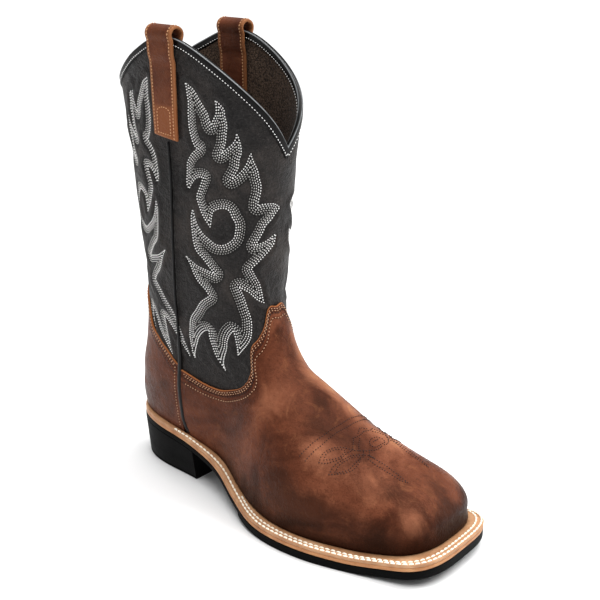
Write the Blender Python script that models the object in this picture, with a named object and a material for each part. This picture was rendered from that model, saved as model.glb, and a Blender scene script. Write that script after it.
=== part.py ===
# Western work boot for the right foot, each piece a closed solid as a maker would put it together.
# Metres. +X runs to the toe, +Y to the inner side of the foot, +Z up; the floor is z = 0 and the
# origin is under the middle of the heel.

import bpy
import bmesh
import numpy as np

for old in list(bpy.data.objects):
    bpy.data.objects.remove(old, do_unlink=True)

# Sizes of the foot part
TOE_REACH = 0.2552
INSTEP_HEIGHT = 0.124
BALL_WIDTH = 0.0954
TOE_ROUND = 0.030
HEEL_ROUND = 0.0402
HEEL_START = 0.005
FULLNESS_HEIGHT = 0.014
ANKLE_BLEND = 0.016

# Sizes of the shaft
SHAFT_HEIGHT = 0.351
SHAFT_DEPTH = 0.160
SHAFT_WIDTH = 0.079
COLLAR_DIP = 0.074

# Sizes of the sole, which stands out past the foot part by the width of the welt
WELT_AT_TOE = 0.0144
WELT_AT_BALL = 0.0108
WELT_AT_HEEL = 0.0058
SOLE_REACH = TOE_REACH + WELT_AT_TOE
SOLE_WIDTH = BALL_WIDTH + 2 * WELT_AT_BALL
SOLE_TOE_ROUND = 0.030
SOLE_HEEL_START = 0.008
SOLE_HEEL_ROUND = SOLE_HEEL_START + HEEL_ROUND - HEEL_START + WELT_AT_HEEL
HEEL_RISE = 0.0315
TOE_SPRING = 0.0085
OUTSOLE_THICKNESS = 0.0061
WAIST_THICKNESS = 0.0039
ARCH_STEP_X = 0.105
MIDSOLE_THICKNESS = 0.0023
WELT_THICKNESS = 0.0025
INSOLE_THICKNESS = 0.004
INSOLE_MARGIN = 0.0014
HEEL_BREAST_X = 0.0365
HEEL_TAPER = 0.86
HEEL_BACK_TAPER = 0.965
GROOVE_WIDTH = 0.0026
GROOVE_DEPTH = 0.0015
GROOVE_PITCH = 0.0115
FIRST_GROOVE_X = 0.124
GROOVE_TO_TOE = 0.0176
LAST_GROOVE_X = SOLE_REACH - GROOVE_TO_TOE
FIRST_HEEL_GROOVE_X = -0.0186
LAST_HEEL_GROOVE_X = 0.0300

# Sizes of the leathers and trims
WALL = 0.0022
OVERLAY_THICKNESS = 0.0015
BINDING_DEPTH = 0.006
BINDING_THICKNESS = 0.0012
PIPING_WIDTH = 0.0026
PIPING_RISE = 0.0022
STRAP_WIDTH = 0.026
STRAP_THICKNESS = 0.0028
STRAP_X = 0.021
STRAP_OUTER_LENGTH = 0.073
STRAP_INNER_LENGTH = 0.073
STRAP_LOOP_RADIUS = 0.0052
STRAP_LOOP_RISE = 0.005

# Clearances: between faces that run alike, round the upper, and between the layers of the sole
FIT = 0.0003
CURVED_FIT = 0.0005
SOLE_FIT = 0.0006

# Fineness of the faceted surfaces
COLUMNS = 56
EDGE_COLUMNS = 96
ROOT_STEPS = 34
SLOPE_STEP = 0.0002

# Superellipse powers of the sections
PLAN_POWER = 3.0
FOOT_POWER = 2.25
LEG_POWER = 2.2
SOLE_TOE_POWER = 3.3
UNDERCUT = 0.05

# Widths over which the foot and leg fields read as metres
FOOT_SCALE = 0.038
LEG_SCALE = 0.045

# Foot sections: x of TOE_REACH; half widths and ridge line of BALL_WIDTH; ridge height of INSTEP_HEIGHT
FOOT_COLUMNS = ("x", "outer", "inner", "ridge_z", "ridge_y")
FOOT_ROWS = (
    (-0.157, 0.240, 0.257, 0.629, 0.000),
    (0.000, 0.240, 0.257, 0.710, 0.000),
    (0.137, 0.273, 0.273, 0.855, 0.000),
    (0.278, 0.327, 0.285, 0.984, 0.000),
    (0.380, 0.432, 0.317, 0.998, -0.021),
    (0.470, 0.526, 0.369, 0.879, -0.031),
    (0.572, 0.589, 0.411, 0.756, -0.031),
    (0.686, 0.584, 0.432, 0.614, -0.010),
    (0.784, 0.521, 0.432, 0.544, 0.010),
    (0.921, 0.416, 0.432, 0.441, 0.042),
    (1.027, 0.348, 0.421, 0.324, 0.052),
)

# Leg sections: z of SHAFT_HEIGHT; back and front of SHAFT_DEPTH; half width and middle of SHAFT_WIDTH
LEG_COLUMNS = ("z", "back", "front", "half_width", "middle_y")
LEG_ROWS = (
    (0.108, -0.188, 0.539, 0.297, 0.000),
    (0.171, -0.213, 0.564, 0.373, 0.000),
    (0.228, -0.228, 0.595, 0.418, 0.000),
    (0.299, -0.204, 0.621, 0.420, 0.006),
    (0.370, -0.186, 0.618, 0.442, 0.013),
    (0.456, -0.187, 0.588, 0.481, 0.025),
    (0.570, -0.220, 0.604, 0.500, 0.032),
    (0.712, -0.269, 0.633, 0.494, 0.032),
    (0.855, -0.329, 0.679, 0.500, 0.025),
    (1.011, -0.390, 0.689, 0.494, 0.013),
)

# Sole profile: x of TOE_REACH; rise of HEEL_RISE; spring of TOE_SPRING
PROFILE_COLUMNS = ("x", "rise", "spring")
PROFILE_ROWS = (
    (-0.160, 1.000, 0.000),
    (-0.040, 0.937, 0.000),
    (0.137, 0.778, 0.000),
    (0.278, 0.508, 0.000),
    (0.380, 0.190, 0.000),
    (0.470, 0.048, 0.000),
    (0.560, 0.000, 0.000),
    (0.800, 0.000, 0.000),
    (0.921, 0.000, 0.353),
    (1.060, 0.000, 1.000),
)

# Sole outline: x of SOLE_REACH; half widths of SOLE_WIDTH
OUTLINE_COLUMNS = ("x", "outer", "inner")
OUTLINE_ROWS = (
    (-0.152, 0.252, 0.256),
    (0.030, 0.258, 0.261),
    (0.134, 0.282, 0.269),
    (0.245, 0.329, 0.278),
    (0.360, 0.438, 0.316),
    (0.445, 0.526, 0.363),
    (0.556, 0.574, 0.406),
    (0.660, 0.566, 0.427),
    (0.790, 0.498, 0.432),
    (0.916, 0.423, 0.406),
    (1.000, 0.380, 0.380),
)

# Loops round the upper from its lower edge, level 0, to the collar, level 1: the front point's x of
# TOE_REACH, the back point's x of SHAFT_DEPTH, and both heights of INSTEP_HEIGHT up to the ankle
LOOP_COLUMNS = ("level", "front_x", "front_z", "back_x", "back_z")
LOOP_ROWS = (
    (0.00, 1.000, 0.153, -0.200, 0.347),
    (0.06, 1.007, 0.266, -0.219, 0.419),
    (0.12, 0.987, 0.363, -0.225, 0.468),
    (0.20, 0.933, 0.460, -0.231, 0.516),
    (0.32, 0.803, 0.581, -0.231, 0.581),
    (0.44, 0.647, 0.685, -0.225, 0.677),
    (0.55, 0.490, 0.839, -0.213, 0.790),
    (0.66, 0.384, 0.839, -0.194, 0.790),
    (0.76, 0.353, 0.839, -0.213, 0.790),
    (0.88, 0.365, 0.839, -0.281, 0.790),
    (1.00, 0.376, 0.839, -0.350, 0.790),
)
ANKLE_LEVEL = 0.55
SAG_LEVEL = 0.5
CLIMB_POWER = 1.1
LOOP_BREADTH = 0.63

# Collar: degrees from the front; dip below the side peaks, of COLLAR_DIP
COLLAR_COLUMNS = ("angle", "dip")
COLLAR_ROWS = (
    (0, 1.000),
    (20, 0.617),
    (50, 0.203),
    (80, 0.004),
    (95, 0.007),
    (120, 0.164),
    (150, 0.451),
    (180, 0.646),
)

# Upper edges of the vamp and the counter: degrees from the front and level between sole and collar
VAMP_COLUMNS = ("angle", "level")
VAMP_ROWS = (
    (0, 0.700),
    (9, 0.690),
    (16, 0.653),
    (23, 0.630),
    (31, 0.610),
    (38, 0.570),
    (42, 0.557),
    (52, 0.520),
    (71, 0.483),
    (84, 0.472),
    (96, 0.482),
    (109, 0.510),
    (170, 0.560),
)
COUNTER_COLUMNS = ("angle", "level")
COUNTER_ROWS = (
    (60, 0.460),
    (109, 0.540),
    (122, 0.570),
    (132, 0.590),
    (146, 0.622),
    (150, 0.645),
    (166, 0.680),
    (180, 0.700),
)

# Side seam: z of SHAFT_HEIGHT, x of SHAFT_DEPTH
SEAM_COLUMNS = ("z", "x")
SEAM_ROWS = (
    (0.080, 0.156),
    (0.200, 0.160),
    (0.285, 0.166),
    (0.430, 0.165),
    (0.630, 0.164),
    (0.780, 0.153),
    (1.000, 0.135),
)

# Levels of the upper's rows of facets, the last one the collar
LEVELS = np.array((0, 0.06, 0.12, 0.18, 0.24, 0.31, 0.38, 0.45, 0.51, 0.56, 0.61, 0.66, 0.71, 0.76, 0.82, 0.88, 0.94, 1.0))
OVERLAY_LEVEL = 0.76


# Tables

def named(columns, rows):
    values = np.array(rows, float)
    return {name: values[:, index] for index, name in enumerate(columns)}


FOOT = named(FOOT_COLUMNS, FOOT_ROWS)
LEG = named(LEG_COLUMNS, LEG_ROWS)
PROFILE = named(PROFILE_COLUMNS, PROFILE_ROWS)
OUTLINE = named(OUTLINE_COLUMNS, OUTLINE_ROWS)
LOOP = named(LOOP_COLUMNS, LOOP_ROWS)
COLLAR = named(COLLAR_COLUMNS, COLLAR_ROWS)
VAMP_EDGE = named(VAMP_COLUMNS, VAMP_ROWS)
COUNTER_EDGE = named(COUNTER_COLUMNS, COUNTER_ROWS)
SEAM = named(SEAM_COLUMNS, SEAM_ROWS)


def read(table, key, name, at, level_between_equals=False):
    """Smooth cubic through one column of a table."""
    keys, values = table[key], table[name]
    at = np.clip(at, keys[0], keys[-1])
    step = np.diff(keys)
    slope = np.diff(values) / step
    tangent = np.empty_like(values)
    tangent[0], tangent[-1] = slope[0], slope[-1]
    tangent[1:-1] = (slope[:-1] * step[1:] + slope[1:] * step[:-1]) / (step[:-1] + step[1:])
    if level_between_equals:
        tangent[1:-1][slope[:-1] * slope[1:] <= 0] = 0
    index = np.clip(np.searchsorted(keys, at, side="right") - 1, 0, len(keys) - 2)
    t = (at - keys[index]) / step[index]
    rising = 3 * t**2 - 2 * t**3
    leaving = (t**3 - 2 * t**2 + t) * step[index] * tangent[index]
    arriving = (t**3 - t**2) * step[index] * tangent[index + 1]
    return (1 - rising) * values[index] + rising * values[index + 1] + leaving + arriving


# Heights of the sole's layers

def board(x):
    """Underside of the midsole."""
    share = x / TOE_REACH
    rise = HEEL_RISE * read(PROFILE, "x", "rise", share, True)
    spring = TOE_SPRING * read(PROFILE, "x", "spring", share, True)
    return OUTSOLE_THICKNESS + SOLE_FIT + rise + spring


def seat(x):
    """Plane that carries the welt, the upper's lower edge and the insole."""
    return board(x) + MIDSOLE_THICKNESS + SOLE_FIT


# The last and the shaft as two fields, zero on their surface and positive outside

def foot_field(x, y, z):
    share = x / TOE_REACH
    outer, inner, ridge_y = (BALL_WIDTH * read(FOOT, "x", name, share) for name in ("outer", "inner", "ridge_y"))
    ridge_z = INSTEP_HEIGHT * read(FOOT, "x", "ridge_z", share)
    half = np.where(y < ridge_y, outer + ridge_y, inner - ridge_y)
    side = np.abs(y - ridge_y) / half
    toe = np.maximum(x - (TOE_REACH - TOE_ROUND), 0) / TOE_ROUND
    heel = np.maximum(HEEL_START - x, 0) / HEEL_ROUND
    square = (side**PLAN_POWER + toe**PLAN_POWER + 1e-12) ** (1 / PLAN_POWER)
    plan = np.where(x < TOE_REACH / 2, np.hypot(side, heel), square)
    fullest = seat(x) + WELT_THICKNESS + FULLNESS_HEIGHT
    above = np.maximum(z - fullest, 0) / (ridge_z - fullest)
    below = np.maximum(fullest - z, 0) / FULLNESS_HEIGHT
    plan = np.maximum(plan / (1 - UNDERCUT * below**2), 1e-6)
    return ((plan**FOOT_POWER + above**FOOT_POWER) ** (1 / FOOT_POWER) - 1) * FOOT_SCALE


def leg_field(x, y, z):
    share = z / SHAFT_HEIGHT
    back, front = (SHAFT_DEPTH * read(LEG, "z", name, share) for name in ("back", "front"))
    half, middle = (SHAFT_WIDTH * read(LEG, "z", name, share) for name in ("half_width", "middle_y"))
    along = np.abs(x - (back + front) / 2) / ((front - back) / 2)
    across = np.abs(y - middle) / half
    return ((along**LEG_POWER + across**LEG_POWER + 1e-12) ** (1 / LEG_POWER) - 1) * LEG_SCALE


def field(x, y, z):
    """Foot and leg joined by a smooth union, which rounds the ankle and instep."""
    foot, leg = foot_field(x, y, z), leg_field(x, y, z)
    share = np.clip(0.5 + 0.5 * (leg - foot) / ANKLE_BLEND, 0, 1)
    return leg + (foot - leg) * share - ANKLE_BLEND * share * (1 - share)


def crossing(outside, low, high, shape):
    """Where outside(r) turns true between low and high, by halving."""
    low = np.full(shape, float(low))
    high = np.full(shape, float(high))
    for _ in range(ROOT_STEPS):
        middle = (low + high) / 2
        beyond = outside(middle)
        high = np.where(beyond, middle, high)
        low = np.where(beyond, low, middle)
    return (low + high) / 2


def collar_height(angle):
    degrees = np.abs((np.degrees(angle) + 180) % 360 - 180)
    return SHAFT_HEIGHT - COLLAR_DIP * read(COLLAR, "angle", "dip", degrees)


def loop_frame(level):
    front_x = TOE_REACH * read(LOOP, "level", "front_x", level)
    back_x = SHAFT_DEPTH * read(LOOP, "level", "back_x", level)
    reach = (front_x - back_x) / 2
    return (front_x + back_x) / 2, reach, np.minimum(LOOP_BREADTH * SHAFT_WIDTH, reach * 0.75)


def surface(angle, level, lift=0.0):
    """Points of the upper's outer face, at an angle from the front and a level up from the sole."""
    angle, level = np.broadcast_arrays(np.asarray(angle, float), np.asarray(level, float))
    centre, reach, breadth = loop_frame(level)
    ankle = np.minimum(level, ANKLE_LEVEL)
    front_z, back_z = (INSTEP_HEIGHT * read(LOOP, "level", name, ankle) for name in ("front_z", "back_z"))
    low_front, low_back = (INSTEP_HEIGHT * LOOP[name][0] for name in ("front_z", "back_z"))
    sag = np.clip(1 - level / SAG_LEVEL, 0, 1) ** 1.5
    climb = np.clip((level - ANKLE_LEVEL) / (1 - ANKLE_LEVEL), 0, 1) ** CLIMB_POWER
    rim = collar_height(angle)

    def point(r):
        x = centre + r * reach * np.cos(angle)
        y = r * breadth * np.sin(angle)
        share = np.clip((x - centre + reach) / (2 * reach), -0.2, 1.2)
        z = back_z + (front_z - back_z) * share
        z = z + sag * (seat(x) - low_back - (low_front - low_back) * share)
        return x, y, z + climb * (rim - z) + lift

    r = crossing(lambda r: field(*point(r)) > 0, 0.3, 1.5, angle.shape)
    return np.stack(point(r), -1)


def outward(points, flat=0.0):
    """Unit normals of the field; flat = 1 keeps them level."""
    slopes = []
    for axis in range(3):
        step = np.zeros(3)
        step[axis] = SLOPE_STEP
        ahead, behind = points + step, points - step
        slopes.append(field(*np.moveaxis(ahead, -1, 0)) - field(*np.moveaxis(behind, -1, 0)))
    slopes = np.stack(slopes, -1)
    slopes[..., 2] *= 1 - flat
    return slopes / np.linalg.norm(slopes, axis=-1, keepdims=True)


def shell_rows(levels, offset):
    """The surface's rows moved out by offset; the first and last rows move level."""
    angles = ANGLES[None, :]
    points = surface(angles, levels[:, None])
    flat = np.where((levels <= 0) | (levels >= 1), 1.0, 0.0)[:, None]
    moved = points + offset * outward(points, flat)
    moved[0, :, 2] = seat(moved[0, :, 0])
    return moved


def side_point(x, z, side):
    """Point of the outer face at x and z, on the right side (-1) or the left side (+1)."""
    x, z = np.broadcast_arrays(np.asarray(x, float), np.asarray(z, float))
    r = crossing(lambda r: field(x, side * r, z) > 0, 0.005, SHAFT_WIDTH, x.shape)
    return side * r


def seam_x(z):
    return SHAFT_DEPTH * read(SEAM, "z", "x", z / SHAFT_HEIGHT)


# Outline of the sole

def outline_field(x, y):
    name_width = np.where(y < 0, read(OUTLINE, "x", "outer", x / SOLE_REACH), read(OUTLINE, "x", "inner", x / SOLE_REACH))
    side = np.abs(y) / (SOLE_WIDTH * name_width)
    toe = np.maximum(x - (SOLE_REACH - SOLE_TOE_ROUND), 0) / SOLE_TOE_ROUND
    heel = np.maximum(SOLE_HEEL_START - x, 0) / SOLE_HEEL_ROUND
    square = (side**SOLE_TOE_POWER + toe**SOLE_TOE_POWER + 1e-12) ** (1 / SOLE_TOE_POWER)
    return np.where(x < SOLE_REACH / 2, np.hypot(side, heel), square) - 1


def outline_y(x, side):
    """Signed y of the sole's edge at x."""
    name = "outer" if side < 0 else "inner"
    half = SOLE_WIDTH * read(OUTLINE, "x", name, x / SOLE_REACH)
    toe = np.clip((x - (SOLE_REACH - SOLE_TOE_ROUND)) / SOLE_TOE_ROUND, 0, 1)
    heel = np.clip((SOLE_HEEL_START - x) / SOLE_HEEL_ROUND, 0, 1)
    return side * half * (1 - toe**SOLE_TOE_POWER) ** (1 / SOLE_TOE_POWER) * np.sqrt(1 - heel**2)


def heel_stations(count, steepest=82.0):
    turn = np.radians(np.linspace(steepest, 0, count))
    return SOLE_HEEL_START - SOLE_HEEL_ROUND * np.sin(turn)


def toe_stations(count, steepest=84.0):
    turn = np.radians(np.linspace(0, steepest, count))
    return SOLE_REACH - SOLE_TOE_ROUND + SOLE_TOE_ROUND * np.sin(turn) ** (2 / SOLE_TOE_POWER)


def groove_stations(first, last):
    """Four stations for each cross groove: its two edges and its floor."""
    centres = np.arange(first, last, GROOVE_PITCH)
    corners = GROOVE_WIDTH / 2 * np.array((-1.15, -0.85, 0.85, 1.15))
    depths = GROOVE_DEPTH * np.array((0.0, 1.0, 1.0, 0.0))
    return (centres[:, None] + corners).ravel(), np.tile(depths, len(centres))


# Meshes

def material(name, colour, roughness, metallic=0.0):
    made = bpy.data.materials.new(name)
    made.use_nodes = True
    shader = made.node_tree.nodes["Principled BSDF"]
    shader.inputs["Base Color"].default_value = (*colour, 1)
    shader.inputs["Roughness"].default_value = roughness
    shader.inputs["Metallic"].default_value = metallic
    return made


def make(name, points, faces, finish, smooth=True):
    mesh = bpy.data.meshes.new(name)
    mesh.from_pydata(np.asarray(points).reshape(-1, 3).tolist(), [], faces)
    shape = bmesh.new()
    shape.from_mesh(mesh)
    bmesh.ops.recalc_face_normals(shape, faces=shape.faces)
    bmesh.ops.triangulate(shape, faces=shape.faces, quad_method="SHORT_EDGE")
    shape.to_mesh(mesh)
    shape.free()
    if finish is not None:
        mesh.materials.append(finish)
    if smooth:
        mesh.shade_smooth()
        mesh.set_sharp_from_angle(angle=np.radians(40))
    made = bpy.data.objects.new(name, mesh)
    bpy.context.scene.collection.objects.link(made)
    return made


def grid_faces(rows, columns, first, closed=False):
    faces = []
    for row in range(rows - 1):
        for column in range(columns if closed else columns - 1):
            beside = (column + 1) % columns
            here, there = first + row * columns, first + (row + 1) * columns
            faces.append((here + column, here + beside, there + beside, there + column))
    return faces


def between(outer, inner, closed):
    """Faces of a wall between two equal grids, closed along the columns or open."""
    rows, columns = outer.shape[:2]
    far = rows * columns
    faces = grid_faces(rows, columns, 0, closed) + grid_faces(rows, columns, far, closed)
    for row in (0, rows - 1):
        for column in range(columns if closed else columns - 1):
            here, beside = row * columns + column, row * columns + (column + 1) % columns
            faces.append((here, beside, far + beside, far + here))
    if not closed:
        for column in (0, columns - 1):
            for row in range(rows - 1):
                here, above = row * columns + column, (row + 1) * columns + column
                faces.append((here, above, far + above, far + here))
    return faces


def wall(name, outer, inner, finish, closed=True):
    points = np.concatenate((outer.reshape(-1, 3), inner.reshape(-1, 3)))
    return make(name, points, between(outer, inner, closed), finish)


def tube(name, sections, finish, closed):
    """Skin over sections (station, corner), joined end to end, or capped at both ends."""
    stations, corners = sections.shape[:2]
    faces = []
    for station in range(stations if closed else stations - 1):
        here, there = station * corners, (station + 1) % stations * corners
        for corner in range(corners):
            beside = (corner + 1) % corners
            faces.append((here + corner, here + beside, there + beside, there + corner))
    if not closed:
        faces.append(tuple(range(corners)))
        faces.append(tuple(range((stations - 1) * corners, stations * corners)))
    return make(name, sections, faces, finish)


def prism(name, outline_xz, half_depth):
    """A hidden cutter: a side view outline drawn out along Y."""
    outline = np.asarray(outline_xz)
    ends = [np.column_stack((outline[:, 0], np.full(len(outline), y), outline[:, 1])) for y in (-half_depth, half_depth)]
    count = len(outline)
    faces = [tuple(range(count)), tuple(range(count, 2 * count))]
    for corner in range(count):
        beside = (corner + 1) % count
        faces.append((corner, beside, count + beside, count + corner))
    return hide(make(name, np.concatenate(ends), faces, None, smooth=False))


def hide(cutter):
    cutter.hide_render = True
    cutter.display_type = "WIRE"
    return cutter


def keep_inside(piece, cutter):
    cut = piece.modifiers.new("inside_" + cutter.name, "BOOLEAN")
    cut.operation = "INTERSECT"
    cut.solver = "EXACT"
    cut.object = cutter


ANGLES = np.linspace(0, 2 * np.pi, COLUMNS, endpoint=False)

SHAFT_LEATHER = material("shaft_leather", (0.030, 0.026, 0.025), 0.55)
OILED_LEATHER = material("oiled_leather", (0.150, 0.055, 0.032), 0.50)
TRIM_LEATHER = material("trim_leather", (0.008, 0.008, 0.009), 0.25)
STRAP_LEATHER = material("strap_leather", (0.270, 0.105, 0.050), 0.50)
LINING = material("footbed_fabric", (0.100, 0.060, 0.042), 0.85)
TAN_LEATHER = material("tan_leather", (0.500, 0.270, 0.140), 0.55)
RUBBER = material("black_rubber", (0.012, 0.012, 0.013), 0.60)


# Upper

def build_upper():
    wall("upper", shell_rows(LEVELS, 0.0), shell_rows(LEVELS, -WALL), SHAFT_LEATHER)


# Vamp and counter, cut from one shell over the upper

def edge_cutter(name, edge, middle, spread):
    """A thick patch over the upper, from below its lower edge up to an edge line of levels."""
    turn = np.radians(middle + np.linspace(-spread, spread, EDGE_COLUMNS))
    degrees = np.abs((np.degrees(turn) + 180) % 360 - 180)
    top = read(edge, "angle", "level", degrees)
    levels = np.linspace(0, 1, 12)[:, None] * top[None, :]
    points = surface(turn[None, :], levels)
    points[0, :, 2] -= 5 * WELT_THICKNESS
    normals = outward(points, 1.0 * (levels < 0.02))
    reach = 4 * OVERLAY_THICKNESS
    outer, inner = points + reach * normals, points - reach * normals / 2
    return hide(wall(name, outer, inner, None, closed=False))


def seam_prism(name, toward_toe):
    """The space on one side of the seam and its piping."""
    gap = PIPING_WIDTH / 2 + FIT
    z = SEAM_HEIGHTS
    x = seam_x(z) + (gap if toward_toe else -gap)
    far = TOE_REACH * (2 if toward_toe else -1)
    outline = list(zip(x, z)) + [(far, z[-1]), (far, z[0])]
    return prism(name, outline, SHAFT_WIDTH * 2)


def build_overlays():
    levels = LEVELS[LEVELS <= OVERLAY_LEVEL]
    outer, inner = shell_rows(levels, CURVED_FIT + OVERLAY_THICKNESS), shell_rows(levels, CURVED_FIT)
    vamp = wall("vamp", outer, inner, OILED_LEATHER)
    keep_inside(vamp, edge_cutter("vamp_edge", VAMP_EDGE, 0, 165))
    keep_inside(vamp, seam_prism("vamp_seam", True))
    counter = wall("heel_counter", outer, inner, OILED_LEATHER)
    keep_inside(counter, edge_cutter("counter_edge", COUNTER_EDGE, 180, 118))
    keep_inside(counter, seam_prism("counter_seam", False))


# Side piping

SEAM_HEIGHTS = np.linspace(-0.05, 1.1, 24) * SHAFT_HEIGHT


def build_piping(side, name):
    foot = seat(seam_x(seat(0.0))) + WELT_THICKNESS + 2 * FIT
    head = SHAFT_HEIGHT - STRAP_OUTER_LENGTH - 2 * FIT
    inside = SEAM_HEIGHTS[(SEAM_HEIGHTS > foot) & (SEAM_HEIGHTS < head)]
    z = np.concatenate(((foot,), inside, (head,)))[:, None]
    across = np.array((-0.5, -0.25, 0.25, 0.5))
    rise = np.array((0.45, 1.0, 1.0, 0.45))
    x = seam_x(z) + PIPING_WIDTH * across
    z = z + 0 * x
    face = side_point(x, z, side)
    outer = np.stack((x, face + side * (CURVED_FIT + PIPING_RISE * rise), z), -1)
    inner = np.stack((x, face + side * CURVED_FIT, z), -1)
    wall(name, outer, inner, TRIM_LEATHER, closed=False)


# Collar binding, a folded strip over the rim

def build_binding():
    rim = surface(ANGLES, 1.0)
    steps = np.roll(rim, -1, 0) - rim
    slope = np.abs(steps[:, 2]) / np.hypot(steps[:, 0], steps[:, 1])
    lean = np.sqrt(1 + np.maximum(slope, np.roll(slope, 1)) ** 2)
    near, out = CURVED_FIT, CURVED_FIT + BINDING_THICKNESS
    corners = (
        (-BINDING_DEPTH, out),
        (out, out),
        (out, -WALL - out),
        (-BINDING_DEPTH, -WALL - out),
        (-BINDING_DEPTH, -WALL - near),
        (near, -WALL - near),
        (near, near),
        (-BINDING_DEPTH, near),
    )
    sections = []
    for lift, offset in corners:
        points = surface(ANGLES, 1.0, lift * lean)
        sections.append(points + offset * outward(points, 1.0))
    tube("collar_binding", np.stack(sections, 1), TRIM_LEATHER, closed=True)


# Pull straps

def strap_path():
    """Inner face of a strap as (distance from the wall's middle, height), and the face over it."""
    low = WALL / 2 + CURVED_FIT
    clear = low + BINDING_THICKNESS + CURVED_FIT
    top = SHAFT_HEIGHT
    tip_out, tip_in = top - STRAP_OUTER_LENGTH, top - STRAP_INNER_LENGTH
    rim = surface(ANGLES, 1.0)
    under_strap = rim[np.abs(rim[:, 0] - STRAP_X) < 0.7 * STRAP_WIDTH]
    step_top = under_strap[:, 2].min() - 1.4 * BINDING_DEPTH
    step_low = step_top - BINDING_DEPTH
    centre = top + STRAP_LOOP_RISE
    outside = [(low, tip_out + share * (step_low - tip_out)) for share in (0, 0.25, 0.5, 0.75, 1)]
    outside += [(clear, step_top), (clear, top)]
    turn = np.radians(np.linspace(0, 180, 11))
    arch = [(STRAP_LOOP_RADIUS * np.cos(a), centre + STRAP_LOOP_RADIUS * np.sin(a)) for a in turn]
    inside = [(-clear, top), (-clear, step_top)]
    inside += [(-low, step_low + share * (tip_in - step_low)) for share in (0, 0.25, 0.5, 0.75, 1)]
    path = np.array(outside + arch + inside)
    along = np.gradient(path, axis=0)
    along /= np.linalg.norm(along, axis=1, keepdims=True)
    over = path + STRAP_THICKNESS * np.column_stack((along[:, 1], -along[:, 0]))
    over[0, 1], over[-1, 1] = path[0, 1], path[-1, 1]
    return path, over


def build_strap(side, name):
    x = STRAP_X + STRAP_WIDTH * np.linspace(-0.5, 0.5, 4)
    faces = []
    for path in strap_path():
        distance, z = path[:, :1], path[:, 1:] + 0 * x
        level_x = x + 0 * z
        y = side_point(level_x, z, side) + side * (distance - WALL / 2)
        faces.append(np.stack((level_x, y, z), -1))
    wall(name, faces[1], faces[0], STRAP_LEATHER, closed=False)


# Insole

def build_insole():
    margin = WALL + INSOLE_MARGIN
    loops = []
    for lift in (0.0, INSOLE_THICKNESS):
        points = surface(ANGLES, 0.0, lift)
        points = points - margin * outward(points, 1.0)
        points[:, 2] = seat(points[:, 0]) + lift
        loops.append(points)
    faces = []
    for column in range(COLUMNS):
        beside = (column + 1) % COLUMNS
        faces.append((column, beside, COLUMNS + beside, COLUMNS + column))
    for first in (0, COLUMNS):
        for column in range(COLUMNS // 2):
            near = (first + column, first + column + 1)
            far = (first + COLUMNS - column - 1, first + (COLUMNS - column) % COLUMNS)
            corners = near + far
            faces.append(tuple(dict.fromkeys(corners)))
    make("insole", np.concatenate(loops), faces, LINING)


# Welt, a ring round the upper

def build_welt():
    centre, reach, breadth = loop_frame(0.0)

    def edge(r):
        return centre + r * reach * np.cos(ANGLES), r * breadth * np.sin(ANGLES)

    r = crossing(lambda r: outline_field(*edge(r)) > 0, 0.3, 1.8, ANGLES.shape)
    outer_x, outer_y = edge(r)
    gap = OVERLAY_THICKNESS + 2 * CURVED_FIT
    sections = []
    for lift in (0.0, WELT_THICKNESS):
        points = surface(ANGLES, 0.0, lift)
        points = points + gap * outward(points, 1.0)
        points[:, 2] = seat(points[:, 0]) + lift
        rim = np.column_stack((outer_x, outer_y, seat(outer_x) + lift))
        sections += [points, rim] if lift == 0 else [rim, points]
    tube("welt", np.stack(sections, 1), TAN_LEATHER, closed=True)


# Midsole, outsole and heel, each a row of cross sections from heel to toe

def layer(name, stations, top_z, bottom_z, finish, taper=1.0, shift=None):
    bottom_x = stations if shift is None else shift
    corners = (
        np.column_stack((stations, outline_y(stations, -1), top_z)),
        np.column_stack((stations, outline_y(stations, 1), top_z)),
        np.column_stack((bottom_x, taper * outline_y(stations, 1), bottom_z)),
        np.column_stack((bottom_x, taper * outline_y(stations, -1), bottom_z)),
    )
    tube(name, np.stack(corners, 1), finish, closed=False)


def build_midsole():
    waist = np.linspace(SOLE_HEEL_START, SOLE_REACH - SOLE_TOE_ROUND, 30)[1:-1]
    x = np.concatenate((heel_stations(9), waist, toe_stations(9)))
    layer("midsole", x, board(x) + MIDSOLE_THICKNESS, board(x), TAN_LEATHER)


def build_outsole():
    toe = toe_stations(9)
    grooves, depths = groove_stations(FIRST_GROOVE_X, LAST_GROOVE_X)
    step = ARCH_STEP_X + GROOVE_DEPTH / 4 * np.array((-1, 1))
    waist = np.linspace(SOLE_HEEL_START, ARCH_STEP_X, 16)[1:-1]
    plain = np.concatenate((heel_stations(9), waist, step, toe))
    x = np.concatenate((plain, grooves))
    depth = np.concatenate((np.zeros(len(plain)), depths))
    crossed = (np.interp(x, grooves, depths) > 0) & (depth == 0) & (x > FIRST_GROOVE_X) & (x < grooves[-1])
    order = np.argsort(x)
    order = order[~crossed[order]]
    x, depth = x[order], depth[order]
    thickness = np.where(x < ARCH_STEP_X, WAIST_THICKNESS, OUTSOLE_THICKNESS)
    top = board(x) - SOLE_FIT
    layer("outsole", x, top, top - thickness + depth, RUBBER)


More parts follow.
